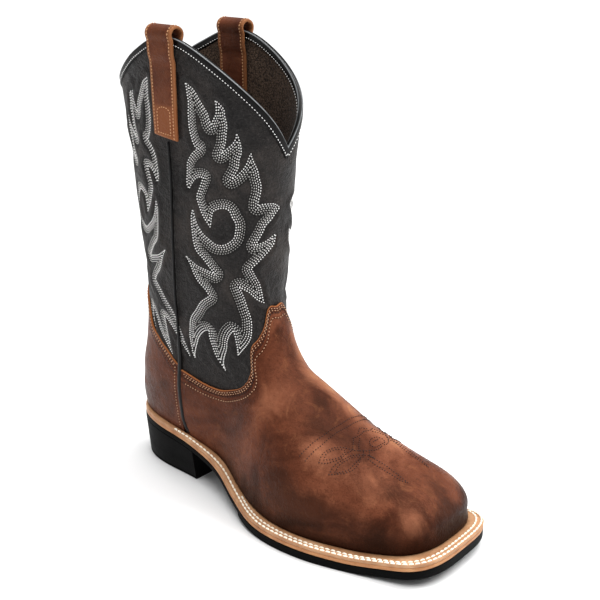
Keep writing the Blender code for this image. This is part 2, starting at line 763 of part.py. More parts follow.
def build_heel():
    grooves, depths = groove_stations(FIRST_HEEL_GROOVE_X, LAST_HEEL_GROOVE_X)
    back = heel_stations(11)
    plain = np.concatenate((back, np.linspace(SOLE_HEEL_START, HEEL_BREAST_X, 4)[1:]))
    apart = np.min(np.abs(plain[:, None] - grooves[None, :]), axis=1) > GROOVE_WIDTH
    plain = plain[apart | (plain >= HEEL_BREAST_X) | (plain <= back[0])]
    x = np.concatenate((plain, grooves))
    depth = np.concatenate((np.zeros(len(plain)), depths))
    order = np.argsort(x)
    x, depth = x[order], depth[order]
    top = board(x) - 2 * SOLE_FIT - WAIST_THICKNESS
    shift = HEEL_BREAST_X + (x - HEEL_BREAST_X) * HEEL_BACK_TAPER
    layer("heel", x, top, depth, RUBBER, HEEL_TAPER, shift)


build_upper()
build_overlays()
build_binding()
build_insole()
build_welt()
build_midsole()
build_outsole()
build_heel()
for side, word in ((-1, "right"), (1, "left")):
    build_piping(side, "side_piping_" + word)
    build_strap(side, "pull_strap_" + word)
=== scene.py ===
# %% [markdown]
# # A western work boot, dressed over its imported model
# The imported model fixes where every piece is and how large. This lesson remakes each piece as a
# fine surface from the same named sizes, then sews, folds, waxes and scuffs it. Lengths are in
# metres unless a name ends in _mm.

import math

import bmesh
import bpy
import numpy as np
from mathutils import Matrix, Vector


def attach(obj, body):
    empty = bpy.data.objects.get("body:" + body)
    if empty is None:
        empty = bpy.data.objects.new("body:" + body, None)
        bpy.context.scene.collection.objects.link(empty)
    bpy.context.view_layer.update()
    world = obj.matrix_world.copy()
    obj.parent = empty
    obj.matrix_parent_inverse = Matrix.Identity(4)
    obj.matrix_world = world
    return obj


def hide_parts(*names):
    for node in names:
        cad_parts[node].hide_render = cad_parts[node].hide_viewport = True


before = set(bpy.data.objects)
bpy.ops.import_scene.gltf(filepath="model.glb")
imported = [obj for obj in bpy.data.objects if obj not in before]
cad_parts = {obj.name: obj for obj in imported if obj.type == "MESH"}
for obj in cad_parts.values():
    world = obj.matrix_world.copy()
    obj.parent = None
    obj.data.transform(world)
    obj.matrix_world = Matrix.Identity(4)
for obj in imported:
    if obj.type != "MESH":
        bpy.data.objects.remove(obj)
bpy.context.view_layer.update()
print("packed pieces:", ", ".join(sorted(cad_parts)))

# %% [markdown]
# A product photo taken from close by has a strong perspective, so the camera needs its true
# distance and not the direction alone. Both were worked out from the boot's own edges: the level
# heel, the sole's outline and the two peaks of the collar.

# %% Camera
IMAGE_PX = 600
FOCAL_PX = 1113.7
AZIMUTH, ELEVATION, ROLL = (math.radians(degrees) for degrees in (38.213, 19.227, 0.913))
CAMERA_DISTANCE = 0.8242
CAMERA_TARGET = Vector((0.1205, 0.0041, 0.1671))
PICTURE_CENTRE_PX = (305.46, 297.47)

level_right = Vector((math.cos(AZIMUTH), math.sin(AZIMUTH), 0))
toward_camera = Vector((
    math.sin(AZIMUTH) * math.cos(ELEVATION),
    -math.cos(AZIMUTH) * math.cos(ELEVATION),
    math.sin(ELEVATION),
))
level_up = toward_camera.cross(level_right)
picture_right = level_right * math.cos(ROLL) + level_up * math.sin(ROLL)
picture_up = level_up * math.cos(ROLL) - level_right * math.sin(ROLL)
lens = bpy.data.cameras.new("camera")
lens.sensor_width = 36
lens.lens = FOCAL_PX * lens.sensor_width / IMAGE_PX
lens.shift_x = (IMAGE_PX / 2 - PICTURE_CENTRE_PX[0]) / IMAGE_PX
lens.shift_y = (PICTURE_CENTRE_PX[1] - IMAGE_PX / 2) / IMAGE_PX
lens.clip_start, lens.clip_end = 0.02, 20
camera = bpy.data.objects.new("camera", lens)
bpy.context.scene.collection.objects.link(camera)
turn = Matrix((picture_right, picture_up, toward_camera)).transposed().to_4x4()
camera.matrix_world = Matrix.Translation(CAMERA_TARGET + toward_camera * CAMERA_DISTANCE) @ turn
bpy.context.scene.camera = camera
print("lens", round(lens.lens, 1), "mm")

# %% [markdown]
# The foot part of a boot is shaped on a last, a solid foot of wood or plastic, and the shaft on a
# flat pattern that is sewn into a tube. Neither is a box or a cylinder. Here both are fields: a
# formula that is zero on the surface, negative inside and positive outside, and a smooth union
# rounds the ankle between them. The tables hold sections in shares of the named sizes, so the
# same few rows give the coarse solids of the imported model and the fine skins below.

# %% Sizes of the boot
TOE_REACH, INSTEP_HEIGHT, BALL_WIDTH = 0.2552, 0.124, 0.0954
TOE_ROUND, HEEL_ROUND, HEEL_START = 0.030, 0.0402, 0.005
FULLNESS_HEIGHT, ANKLE_BLEND = 0.014, 0.016
SHAFT_HEIGHT, SHAFT_DEPTH, SHAFT_WIDTH, COLLAR_DIP = 0.351, 0.160, 0.079, 0.074
WELT_AT_TOE, WELT_AT_BALL, WELT_AT_HEEL = 0.0144, 0.0108, 0.0058
SOLE_REACH = TOE_REACH + WELT_AT_TOE
SOLE_WIDTH = BALL_WIDTH + 2 * WELT_AT_BALL
SOLE_TOE_ROUND, SOLE_HEEL_START = 0.030, 0.008
SOLE_HEEL_ROUND = SOLE_HEEL_START + HEEL_ROUND - HEEL_START + WELT_AT_HEEL
HEEL_RISE, TOE_SPRING = 0.0315, 0.0085
OUTSOLE_THICKNESS, WAIST_THICKNESS, ARCH_STEP_X = 0.0061, 0.0039, 0.105
MIDSOLE_THICKNESS, WELT_THICKNESS = 0.0023, 0.0025
HEEL_BREAST_X, HEEL_TAPER, HEEL_BACK_TAPER = 0.0365, 0.86, 0.965
WALL, OVERLAY_THICKNESS = 0.0022, 0.0015
BINDING_DEPTH, BINDING_THICKNESS = 0.0052, 0.0012
PIPING_WIDTH, PIPING_RISE = 0.0026, 0.0022
STRAP_WIDTH, STRAP_THICKNESS, STRAP_X, STRAP_LENGTH = 0.026, 0.0028, 0.021, 0.073
STRAP_LOOP_RADIUS, STRAP_LOOP_RISE = 0.0052, 0.0015
CLEARANCE, CURVED_CLEARANCE, SOLE_CLEARANCE = 0.0003, 0.0005, 0.0006
PLAN_POWER, FOOT_POWER, LEG_POWER, SOLE_TOE_POWER, UNDERCUT = 3.0, 2.25, 2.2, 3.3, 0.05
FOOT_SCALE, LEG_SCALE = 0.038, 0.045

# %% Tables of sections
FOOT_COLUMNS = ("x", "outer", "inner", "ridge_z", "ridge_y")
FOOT_ROWS = (
    (-0.157, 0.240, 0.257, 0.629, 0.000),
    (0.000, 0.240, 0.257, 0.710, 0.000),
    (0.137, 0.273, 0.273, 0.855, 0.000),
    (0.278, 0.327, 0.285, 0.984, 0.000),
    (0.380, 0.432, 0.317, 0.998, -0.021),
    (0.470, 0.526, 0.369, 0.879, -0.031),
    (0.572, 0.589, 0.411, 0.756, -0.031),
    (0.686, 0.584, 0.432, 0.614, -0.010),
    (0.784, 0.521, 0.432, 0.544, 0.010),
    (0.921, 0.416, 0.432, 0.441, 0.042),
    (1.027, 0.348, 0.421, 0.324, 0.052),
)
LEG_COLUMNS = ("z", "back", "front", "half_width", "middle_y")
LEG_ROWS = (
    (0.108, -0.188, 0.539, 0.297, 0.000),
    (0.171, -0.213, 0.564, 0.373, 0.000),
    (0.228, -0.228, 0.595, 0.418, 0.000),
    (0.299, -0.204, 0.621, 0.420, 0.006),
    (0.370, -0.186, 0.618, 0.442, 0.013),
    (0.456, -0.187, 0.588, 0.481, 0.025),
    (0.570, -0.220, 0.604, 0.500, 0.032),
    (0.712, -0.269, 0.633, 0.494, 0.032),
    (0.855, -0.329, 0.679, 0.500, 0.025),
    (1.011, -0.390, 0.689, 0.494, 0.013),
)
PROFILE_COLUMNS = ("x", "rise", "spring")
PROFILE_ROWS = (
    (-0.160, 1.000, 0.000),
    (-0.040, 0.937, 0.000),
    (0.137, 0.778, 0.000),
    (0.278, 0.508, 0.000),
    (0.380, 0.190, 0.000),
    (0.470, 0.048, 0.000),
    (0.560, 0.000, 0.000),
    (0.800, 0.000, 0.000),
    (0.921, 0.000, 0.353),
    (1.060, 0.000, 1.000),
)
OUTLINE_COLUMNS = ("x", "outer", "inner")
OUTLINE_ROWS = (
    (-0.152, 0.252, 0.256),
    (0.030, 0.258, 0.261),
    (0.134, 0.282, 0.269),
    (0.245, 0.329, 0.278),
    (0.360, 0.438, 0.316),
    (0.445, 0.526, 0.363),
    (0.556, 0.574, 0.406),
    (0.660, 0.566, 0.427),
    (0.790, 0.498, 0.432),
    (0.916, 0.423, 0.406),
    (1.000, 0.380, 0.380),
)
LOOP_COLUMNS = ("level", "front_x", "front_z", "back_x", "back_z")
LOOP_ROWS = (
    (0.00, 1.000, 0.153, -0.200, 0.347),
    (0.06, 1.007, 0.266, -0.219, 0.419),
    (0.12, 0.987, 0.363, -0.225, 0.468),
    (0.20, 0.933, 0.460, -0.231, 0.516),
    (0.32, 0.803, 0.581, -0.231, 0.581),
    (0.44, 0.647, 0.685, -0.225, 0.677),
    (0.55, 0.490, 0.839, -0.213, 0.790),
    (0.66, 0.384, 0.839, -0.194, 0.790),
    (0.76, 0.353, 0.839, -0.213, 0.790),
    (0.88, 0.365, 0.839, -0.281, 0.790),
    (1.00, 0.376, 0.839, -0.350, 0.790),
)
ANKLE_LEVEL, SAG_LEVEL, CLIMB_POWER, LOOP_BREADTH = 0.55, 0.5, 1.1, 0.63
COLLAR_COLUMNS = ("angle", "dip")
COLLAR_ROWS = (
    (0, 1.000),
    (20, 0.617),
    (50, 0.203),
    (80, 0.004),
    (95, 0.007),
    (120, 0.164),
    (150, 0.451),
    (180, 0.646),
)
EDGE_COLUMNS = ("angle", "level")
VAMP_ROWS = (
    (0, 0.700),
    (9, 0.690),
    (16, 0.653),
    (23, 0.630),
    (31, 0.610),
    (38, 0.570),
    (42, 0.557),
    (52, 0.520),
    (71, 0.483),
    (84, 0.472),
    (96, 0.482),
    (109, 0.510),
    (170, 0.560),
)
COUNTER_ROWS = (
    (60, 0.460),
    (109, 0.540),
    (122, 0.570),
    (132, 0.590),
    (146, 0.622),
    (150, 0.645),
    (166, 0.680),
    (180, 0.700),
)
SEAM_COLUMNS = ("z", "x")
SEAM_ROWS = (
    (0.080, 0.156),
    (0.200, 0.160),
    (0.285, 0.166),
    (0.430, 0.165),
    (0.630, 0.164),
    (0.780, 0.153),
    (1.000, 0.135),
)


def named(columns, rows):
    """A table as one array for each named column."""
    values = np.array(rows, float)
    return {name: values[:, index] for index, name in enumerate(columns)}


FOOT, LEG = named(FOOT_COLUMNS, FOOT_ROWS), named(LEG_COLUMNS, LEG_ROWS)
PROFILE, OUTLINE = named(PROFILE_COLUMNS, PROFILE_ROWS), named(OUTLINE_COLUMNS, OUTLINE_ROWS)
LOOP, COLLAR = named(LOOP_COLUMNS, LOOP_ROWS), named(COLLAR_COLUMNS, COLLAR_ROWS)
VAMP_EDGE, COUNTER_EDGE = named(EDGE_COLUMNS, VAMP_ROWS), named(EDGE_COLUMNS, COUNTER_ROWS)
SEAM = named(SEAM_COLUMNS, SEAM_ROWS)


def read(table, key, name, at, level_between_equals=False):
    """Cubic through a column: each span blends its two ends and the slopes shared with its neighbours."""
    keys, values = table[key], table[name]
    at = np.clip(at, keys[0], keys[-1])
    step = np.diff(keys)
    slope = np.diff(values) / step
    tangent = np.empty_like(values)
    tangent[0], tangent[-1] = slope[0], slope[-1]
    tangent[1:-1] = (slope[:-1] * step[1:] + slope[1:] * step[:-1]) / (step[:-1] + step[1:])
    if level_between_equals:
        tangent[1:-1][slope[:-1] * slope[1:] <= 0] = 0
    index = np.clip(np.searchsorted(keys, at, side="right") - 1, 0, len(keys) - 2)
    t = (at - keys[index]) / step[index]
    rising = 3 * t**2 - 2 * t**3
    leaving = (t**3 - 2 * t**2 + t) * step[index] * tangent[index]
    arriving = (t**3 - t**2) * step[index] * tangent[index + 1]
    return (1 - rising) * values[index] + rising * values[index + 1] + leaving + arriving


# %% The last and the shaft as fields
def board(x):
    """Underside of the midsole: the sole's thickness plus the rise to the heel plus the toe spring."""
    share = x / TOE_REACH
    rise = HEEL_RISE * read(PROFILE, "x", "rise", share, True)
    spring = TOE_SPRING * read(PROFILE, "x", "spring", share, True)
    return OUTSOLE_THICKNESS + SOLE_CLEARANCE + rise + spring


def seat(x):
    """Height that the welt and the upper's lower edge stand on."""
    return board(x) + MIDSOLE_THICKNESS + SOLE_CLEARANCE


def foot_field(x, y, z):
    """Superellipse of a plan outline, squarer at the toe, and of the height over the fullest line."""
    share = x / TOE_REACH
    outer, inner, ridge_y = (BALL_WIDTH * read(FOOT, "x", name, share) for name in ("outer", "inner", "ridge_y"))
    ridge_z = INSTEP_HEIGHT * read(FOOT, "x", "ridge_z", share)
    half = np.where(y < ridge_y, outer + ridge_y, inner - ridge_y)
    side = np.abs(y - ridge_y) / half
    toe = np.maximum(x - (TOE_REACH - TOE_ROUND), 0) / TOE_ROUND
    heel = np.maximum(HEEL_START - x, 0) / HEEL_ROUND
    square = (side**PLAN_POWER + toe**PLAN_POWER + 1e-12) ** (1 / PLAN_POWER)
    plan = np.where(x < TOE_REACH / 2, np.hypot(side, heel), square)
    fullest = seat(x) + WELT_THICKNESS + FULLNESS_HEIGHT
    above = np.maximum(z - fullest, 0) / (ridge_z - fullest)
    below = np.maximum(fullest - z, 0) / FULLNESS_HEIGHT
    plan = np.maximum(plan / (1 - UNDERCUT * below**2), 1e-6)
    return ((plan**FOOT_POWER + above**FOOT_POWER) ** (1 / FOOT_POWER) - 1) * FOOT_SCALE


def leg_field(x, y, z):
    """Superellipse across the shaft at each height."""
    share = z / SHAFT_HEIGHT
    back, front = (SHAFT_DEPTH * read(LEG, "z", name, share) for name in ("back", "front"))
    half, middle = (SHAFT_WIDTH * read(LEG, "z", name, share) for name in ("half_width", "middle_y"))
    along = np.abs(x - (back + front) / 2) / ((front - back) / 2)
    across = np.abs(y - middle) / half
    return ((along**LEG_POWER + across**LEG_POWER + 1e-12) ** (1 / LEG_POWER) - 1) * LEG_SCALE


def field(x, y, z):
    """Smooth union: the lower of the two fields, less a parabola where they are within the blend."""
    foot, leg = foot_field(x, y, z), leg_field(x, y, z)
    share = np.clip(0.5 + 0.5 * (leg - foot) / ANKLE_BLEND, 0, 1)
    return leg + (foot - leg) * share - ANKLE_BLEND * share * (1 - share)


def crossing(outside, low, high, shape, steps=26):
    """Where outside(r) turns true between low and high, by halving the span."""
    low, high = np.full(shape, float(low)), np.full(shape, float(high))
    for _ in range(steps):
        middle = (low + high) / 2
        beyond = outside(middle)
        high, low = np.where(beyond, middle, high), np.where(beyond, low, middle)
    return (low + high) / 2


def collar_height(angle):
    degrees = np.abs((np.degrees(angle) + 180) % 360 - 180)
    return SHAFT_HEIGHT - COLLAR_DIP * read(COLLAR, "angle", "dip", degrees)


def loop_frame(level):
    front_x = TOE_REACH * read(LOOP, "level", "front_x", level)
    back_x = SHAFT_DEPTH * read(LOOP, "level", "back_x", level)
    reach = (front_x - back_x) / 2
    return (front_x + back_x) / 2, reach, np.minimum(LOOP_BREADTH * SHAFT_WIDTH, reach * 0.75)


def surface(angle, level, lift=0.0):
    """Outer face at an angle from the front and a level from the sole, 0, to the collar, 1: a ray runs
    out from the loop's centre in the loop's sloping plane until the field turns positive."""
    angle, level = np.broadcast_arrays(np.asarray(angle, float), np.asarray(level, float))
    centre, reach, breadth = loop_frame(level)
    ankle = np.minimum(level, ANKLE_LEVEL)
    front_z, back_z = (INSTEP_HEIGHT * read(LOOP, "level", name, ankle) for name in ("front_z", "back_z"))
    low_front, low_back = (INSTEP_HEIGHT * LOOP[name][0] for name in ("front_z", "back_z"))
    sag = np.clip(1 - level / SAG_LEVEL, 0, 1) ** 1.5
    climb = np.clip((level - ANKLE_LEVEL) / (1 - ANKLE_LEVEL), 0, 1) ** CLIMB_POWER
    rim = collar_height(angle)

    def point(r):
        x = centre + r * reach * np.cos(angle)
        y = r * breadth * np.sin(angle)
        share = np.clip((x - centre + reach) / (2 * reach), -0.2, 1.2)
        z = back_z + (front_z - back_z) * share
        z = z + sag * (seat(x) - low_back - (low_front - low_back) * share)
        return x, y, z + climb * (rim - z) + lift

    r = crossing(lambda r: field(*point(r)) > 0, 0.3, 1.5, angle.shape)
    return np.stack(point(r), -1)


def outward(points, level_share=0.0):
    """Unit slope of the field, from differences over 0.4 mm; level_share 1 keeps it level."""
    step = 0.0002
    slopes = []
    for axis in range(3):
        move = np.zeros(3)
        move[axis] = step
        ahead, behind = np.moveaxis(points + move, -1, 0), np.moveaxis(points - move, -1, 0)
        slopes.append(field(*ahead) - field(*behind))
    slopes = np.stack(slopes, -1)
    slopes[..., 2] *= 1 - level_share
    return slopes / np.linalg.norm(slopes, axis=-1, keepdims=True)


def seam_x(z):
    return SHAFT_DEPTH * read(SEAM, "z", "x", z / SHAFT_HEIGHT)


def side_point(x, z, side):
    """Signed y of the outer face at x and z, on the right side, -1, or the left side, 1."""
    x, z = np.broadcast_arrays(np.asarray(x, float), np.asarray(z, float))
    return side * crossing(lambda r: field(x, side * r, z) > 0, 0.005, SHAFT_WIDTH, x.shape)


peak = surface(np.radians((0.0, 85.0)), 1.0)[:, 2]
print("collar: dip at", round(peak[0] * 1000, 1), "mm, peak at", round(peak[1] * 1000, 1), "mm")

# %% [markdown]
# New leather that stands empty isn't smooth: it keeps soft dents from lasting and handling, and
# the shaft folds a little over the ankle. Noise would put these anywhere, so each one is given as
# a soft trough between two points with a low ridge on either side, and every layer that lies on
# the leather moves with it.

# %% Creases and dents
CREASE_COLUMNS = ("ax", "ay", "az", "bx", "by", "bz", "width", "depth")
CREASE_ROWS_MM = (
    (70, -42, 168, 92, -18, 160, 5.0, 0.9),
    (40, -44, 150, 84, -30, 146, 6.0, 1.0),
    (88, -24, 182, 98, 0, 178, 6.0, 0.7),
    (20, -42, 190, 56, -42, 182, 8.0, 0.7),
    (-10, -34, 176, 14, -40, 168, 7.0, 0.8),
    (-30, -14, 190, -22, -30, 182, 7.0, 0.7),
    (60, 44, 170, 90, 18, 162, 6.0, 0.9),
    (20, 44, 160, 60, 40, 150, 7.0, 0.8),
    (-28, 16, 186, -12, 34, 176, 7.0, 0.8),
    (86, -36, 92, 118, -22, 98, 9.0, 0.9),
    (84, 34, 90, 116, 20, 98, 9.0, 0.8),
    (118, -40, 66, 146, -30, 80, 11.0, 0.7),
    (30, -40, 250, 80, -30, 262, 14.0, 1.0),
    (10, 42, 240, 70, 40, 256, 14.0, 1.0),
    (-48, -20, 270, -34, -34, 250, 12.0, 0.9),
)
CREASES = named(CREASE_COLUMNS, CREASE_ROWS_MM)


def relief(points):
    """Sum of the creases: minus depth times (1 - t squared / 2) times e to the minus t squared / 2,
    where t is the distance to the crease's line in widths."""
    total = np.zeros(points.shape[:-1])
    for ax, ay, az, bx, by, bz, width, depth in np.array(CREASE_ROWS_MM) / 1000:
        start, span = np.array((ax, ay, az)), np.array((bx - ax, by - ay, bz - az))
        share = np.clip(((points - start) @ span) / (span @ span), 0, 1)
        away = np.linalg.norm(points - start - share[..., None] * span, axis=-1) / width
        total -= depth * (1 - away**2 / 2) * np.exp(-(away**2) / 2)
    foot = np.clip((points[..., 2] - seat(points[..., 0]) - 0.004) / 0.012, 0, 1)
    rim = np.clip((SHAFT_HEIGHT - COLLAR_DIP - 0.002 - points[..., 2]) / 0.02, 0, 1)
    seam = np.clip((np.abs(points[..., 0] - seam_x(points[..., 2])) - 0.002) / 0.008, 0, 1)
    return total * foot * rim * (0.25 + 0.75 * seam)


def skin(points, lift, level_share=0.0):
    """Points of the bare surface moved out by a lift, and by the creases."""
    return points + (np.asarray(lift) + relief(points))[..., None] * outward(points, level_share)


print(len(CREASES["depth"]), "creases, deepest", CREASES["depth"].max(), "mm")

# %% [markdown]
# Every skin below is a grid of rows and columns. One helper turns such a grid into a mesh in a
# single pass, with as many named numbers on its points as the material wants to read, such as the
# distance from a cut edge. Doubled points at closed ends are merged, so that no seam is open.

# %% Grid to mesh
def grid_corners(rows, columns, wrap_rows, wrap_columns):
    i = np.arange(rows if wrap_rows else rows - 1)[:, None]
    j = np.arange(columns if wrap_columns else columns - 1)[None, :]
    below, beside = (i + 1) % rows, (j + 1) % columns
    corners = (i * columns + j, i * columns + beside, below * columns + beside, below * columns + j)
    return np.stack(corners, -1).reshape(-1, 4)


PIECES = []


def finish_mesh(name, mesh, weld=True):
    """An object round the mesh, its doubled points merged and its faces turned outwards."""
    shape = bmesh.new()
    shape.from_mesh(mesh)
    if weld:
        bmesh.ops.remove_doubles(shape, verts=shape.verts, dist=1e-7)
        bmesh.ops.recalc_face_normals(shape, faces=shape.faces)
    shape.to_mesh(mesh)
    shape.free()
    mesh.shade_smooth()
    made = bpy.data.objects.new(name, mesh)
    bpy.context.scene.collection.objects.link(made)
    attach(made, "root")
    PIECES.append(made)
    return made


def points_mesh(name, points, corners, **numbers):
    mesh = bpy.data.meshes.new(name)
    mesh.vertices.add(len(points))
    mesh.vertices.foreach_set("co", np.ascontiguousarray(points, np.float32).ravel())
    mesh.loops.add(corners.size)
    mesh.loops.foreach_set("vertex_index", np.ascontiguousarray(corners, np.int32).ravel())
    mesh.polygons.add(len(corners))
    mesh.polygons.foreach_set("loop_start", np.arange(0, corners.size, corners.shape[1], dtype=np.int32))
    mesh.update(calc_edges=True)
    for label, values in numbers.items():
        layer = mesh.attributes.new(label, "FLOAT", "POINT")
        layer.data.foreach_set("value", np.ascontiguousarray(values, np.float32).ravel())
    return mesh


def grid_piece(name, points, wrap_rows=False, wrap_columns=False, **numbers):
    rows, columns = points.shape[:2]
    corners = grid_corners(rows, columns, wrap_rows, wrap_columns)
    numbers = {label: np.broadcast_to(values, (rows, columns)) for label, values in numbers.items()}
    made = finish_mesh(name, points_mesh(name, points.reshape(-1, 3), corners, **numbers))
    print(name, len(made.data.polygons), "faces")
    return made


# %% [markdown]
# The upper is one tube of leather from sole to collar, seen outside as the charcoal shaft and
# inside as the brown lining. One closed skin runs up the outside, over the rim and down the
# inside. A second helper gives each point its place on the flat pattern that the shaft was cut
# from: the girth from the front middle line, and the height. All the fancy stitching is drawn on
# that pattern.

# %% Flat pattern of the shaft
PATTERN_CENTRE_X = 0.035
PATTERN_TURNS = np.linspace(0, math.pi, 181)
PATTERN_HEIGHTS = np.linspace(0.095, 0.352, 130)


def section_points(turns, heights, side):
    """Points at a turn from the front round the shaft's middle, in level sections."""
    turns, heights = np.broadcast_arrays(turns, heights)

    def outside(r):
        return field(PATTERN_CENTRE_X + r * np.cos(turns), side * r * np.sin(turns), heights) > 0

    r = crossing(outside, 0.01, 0.16, turns.shape)
    x, y = PATTERN_CENTRE_X + r * np.cos(turns), side * r * np.sin(turns)
    return np.stack((x, y, heights), -1)


def girths(side):
    """Length along each level section from the front middle, a row for each height."""
    points = section_points(PATTERN_TURNS[None, :], PATTERN_HEIGHTS[:, None], side)
    steps = np.linalg.norm(np.diff(points, axis=1), axis=-1)
    return np.concatenate((np.zeros((len(steps), 1)), np.cumsum(steps, axis=1)), axis=1)


GIRTHS = {side: girths(side) for side in (-1, 1)}


def girth_row(heights, side):
    """The girth table's row at any height, between its two nearest rows."""
    place = np.clip((heights - PATTERN_HEIGHTS[0]) / (PATTERN_HEIGHTS[1] - PATTERN_HEIGHTS[0]), 0, 128.999)
    row = place.astype(int)
    share = (place - row)[:, None]
    return GIRTHS[side][row] * (1 - share) + GIRTHS[side][row + 1] * share


def on_shaft(girth, heights, side, from_back=False):
    """Bare surface points at a girth from the front or the back middle line and a height."""
    rows = girth_row(heights, side)
    target = rows[:, -1] - girth if from_back else girth
    index = np.clip((rows < target[:, None]).sum(1) - 1, 0, rows.shape[1] - 2)
    pick = np.arange(len(rows))
    low, high = rows[pick, index], rows[pick, index + 1]
    turns = PATTERN_TURNS[index] + (target - low) / (high - low) * PATTERN_TURNS[1]
    return section_points(turns, heights, side)


def pattern_place(points, side):
    """Girth from the front middle, girth from the back middle and height of surface points."""
    turns = np.arctan2(side * points[:, 1], points[:, 0] - PATTERN_CENTRE_X)
    rows = girth_row(points[:, 2], side)
    place = np.clip(turns / PATTERN_TURNS[1], 0, 179.999)
    index = place.astype(int)
    pick = np.arange(len(rows))
    share = place - index
    front = rows[pick, index] * (1 - share) + rows[pick, index + 1] * share
    return front, rows[:, -1] - front, points[:, 2]


print("girth at mid shaft", round(2000 * GIRTHS[-1][65, -1]), "mm")

# %% [markdown]
# The shaft's ornament is a run of flames and scrolls, sewn on each half of the front and back
# panels as a closed outline with five rows of thread inside it. The outline is a table of
# corners and curve points on the flat pattern, in millimetres. A smooth line is drawn through
# them, and each inner row is that line moved inwards, less the points that came nearer to the
# outline than their own distance, which is what happens inside a narrow tongue of flame.

# %% Flame outline
FLAME_COLUMNS = ("girth", "height", "corner")
FLAME_ROWS_MM = (
    (84, 321, 1), (77, 317, 0), (72, 311, 0), (68, 306, 0), (64, 301, 0), (62, 296, 0), (60, 293, 1),
    (59, 297, 0), (57, 301, 0), (57, 306, 0), (58, 311, 1), (54, 308, 0), (51, 305, 0), (50, 300, 0),
    (48, 294, 0), (48, 288, 0), (48, 280, 0), (50, 273, 1), (47, 276, 0), (43, 280, 0), (41, 283, 0),
    (40, 286, 0), (40, 289, 1), (38, 285, 0), (36, 280, 0), (35, 275, 0), (36, 270, 0), (36, 264, 0),
    (38, 259, 0), (40, 255, 1), (36, 258, 0), (32, 263, 0), (30, 267, 0), (29, 271, 0), (28, 275, 1),
    (26, 270, 0), (22, 263, 0), (20, 257, 0), (18, 251, 0), (18, 245, 0), (19, 240, 0), (19, 236, 1),
    (15, 237, 0), (9, 237, 0), (5, 236, 0), (1, 233, 1), (4, 230, 0), (8, 225, 0), (12, 221, 0),
    (14, 216, 0), (16, 212, 0), (19, 206, 1), (12, 208, 0), (7, 211, 0), (3, 213, 1), (4, 206, 0),
    (8, 201, 0), (14, 195, 0), (21, 188, 1), (17, 181, 0), (14, 176, 0), (12, 169, 0), (10, 160, 1),
    (15, 163, 0), (21, 169, 0), (26, 172, 0), (29, 174, 1), (25, 164, 0), (23, 156, 0), (22, 148, 0),
    (24, 140, 0), (27, 134, 0), (33, 128, 0), (44, 120, 1), (41, 126, 0), (39, 133, 0), (38, 139, 1),
    (43, 135, 0), (48, 129, 0), (54, 121, 0), (72, 106, 1), (69, 110, 0), (67, 116, 0), (64, 123, 0),
    (62, 131, 0), (60, 136, 1), (64, 135, 0), (69, 132, 0), (75, 127, 0), (81, 121, 0), (94, 110, 1),
    (89, 117, 0), (84, 126, 0), (79, 135, 0), (74, 143, 0), (67, 150, 0), (60, 158, 0), (52, 164, 1),
    (56, 169, 0), (62, 174, 0), (67, 180, 0), (71, 187, 0), (75, 192, 1), (70, 189, 0), (64, 186, 0),
    (56, 184, 0), (48, 182, 1), (54, 188, 0), (59, 193, 0), (65, 198, 0), (68, 205, 0), (70, 215, 0),
    (71, 223, 0), (70, 229, 1), (67, 221, 0), (64, 216, 0), (59, 211, 0), (54, 208, 0), (49, 205, 0),
    (43, 205, 0), (39, 207, 0), (35, 211, 0), (34, 216, 0), (34, 222, 0), (37, 227, 0), (39, 231, 0),
    (42, 233, 0), (46, 233, 0), (51, 231, 0), (53, 228, 0), (54, 218, 1), (60, 225, 0), (64, 232, 0),
    (67, 239, 0), (65, 247, 0), (63, 254, 1), (66, 254, 0), (69, 253, 0), (72, 250, 0), (74, 246, 0),
    (75, 244, 1), (77, 246, 0), (78, 251, 0), (78, 257, 0), (78, 263, 0), (76, 268, 0), (73, 272, 0),
    (69, 275, 1), (72, 276, 0), (75, 280, 0), (77, 284, 0), (79, 289, 0), (80, 294, 0), (81, 301, 0),
    (81, 307, 0), (82, 312, 0), (83, 317, 0),
)
FLAME = named(FLAME_COLUMNS, FLAME_ROWS_MM)


def closed_curve(x, y, corner, per_span=8):
    """Through closed points: each span is a cubic whose slopes run between neighbours, nil at corners."""
    points = np.stack((x, y), -1)
    before, after = np.roll(points, 1, 0), np.roll(points, -1, 0)
    slope = (after - before) / 2
    leave = np.where(corner[:, None] > 0, after - points, slope)
    arrive = np.where(corner[:, None] > 0, points - before, slope)
    t = np.linspace(0, 1, per_span, endpoint=False)[None, :, None]
    here, there = points[:, None], after[:, None]
    leave, arrive = leave[:, None], np.roll(arrive, -1, 0)[:, None]
    rising = 3 * t**2 - 2 * t**3
    curve = (1 - rising) * here + rising * there + (t**3 - 2 * t**2 + t) * leave + (t**3 - t**2) * arrive
    return curve.reshape(-1, 2)


def even_steps(points, step, start=0.0):
    """A line's points again at even steps of its own length."""
    length = np.concatenate(((0,), np.cumsum(np.linalg.norm(np.diff(points, axis=0), axis=1))))
    at = np.arange(start, length[-1], step)
    return np.stack([np.interp(at, length, points[:, axis]) for axis in range(points.shape[1])], -1)


flame_line = closed_curve(FLAME["girth"], FLAME["height"], FLAME["corner"])
flame_line = even_steps(np.concatenate((flame_line, flame_line[:1])), 0.35)
print("flame outline", round(len(flame_line) * 0.35), "mm of thread a row")

# %% [markdown]
# Dyed leather is never one flat colour. Each finish here is a shader with a patchy colour, a grain
# of small cells and fine wrinkles. Colours are written as screen colours and turned into light by
# one function; another adds a node with its settings, values and links in one call.

# %% Finish helpers
def linear(hex_colour):
    """Screen colour as light: below 0.04045 over 12.92, above it ((c + 0.055) / 1.055) to the 2.4."""
    shown = np.array([int(hex_colour[place:place + 2], 16) for place in (1, 3, 5)]) / 255
    light = np.where(shown <= 0.04045, shown / 12.92, ((shown + 0.055) / 1.055) ** 2.4)
    return (*light.tolist(), 1.0)


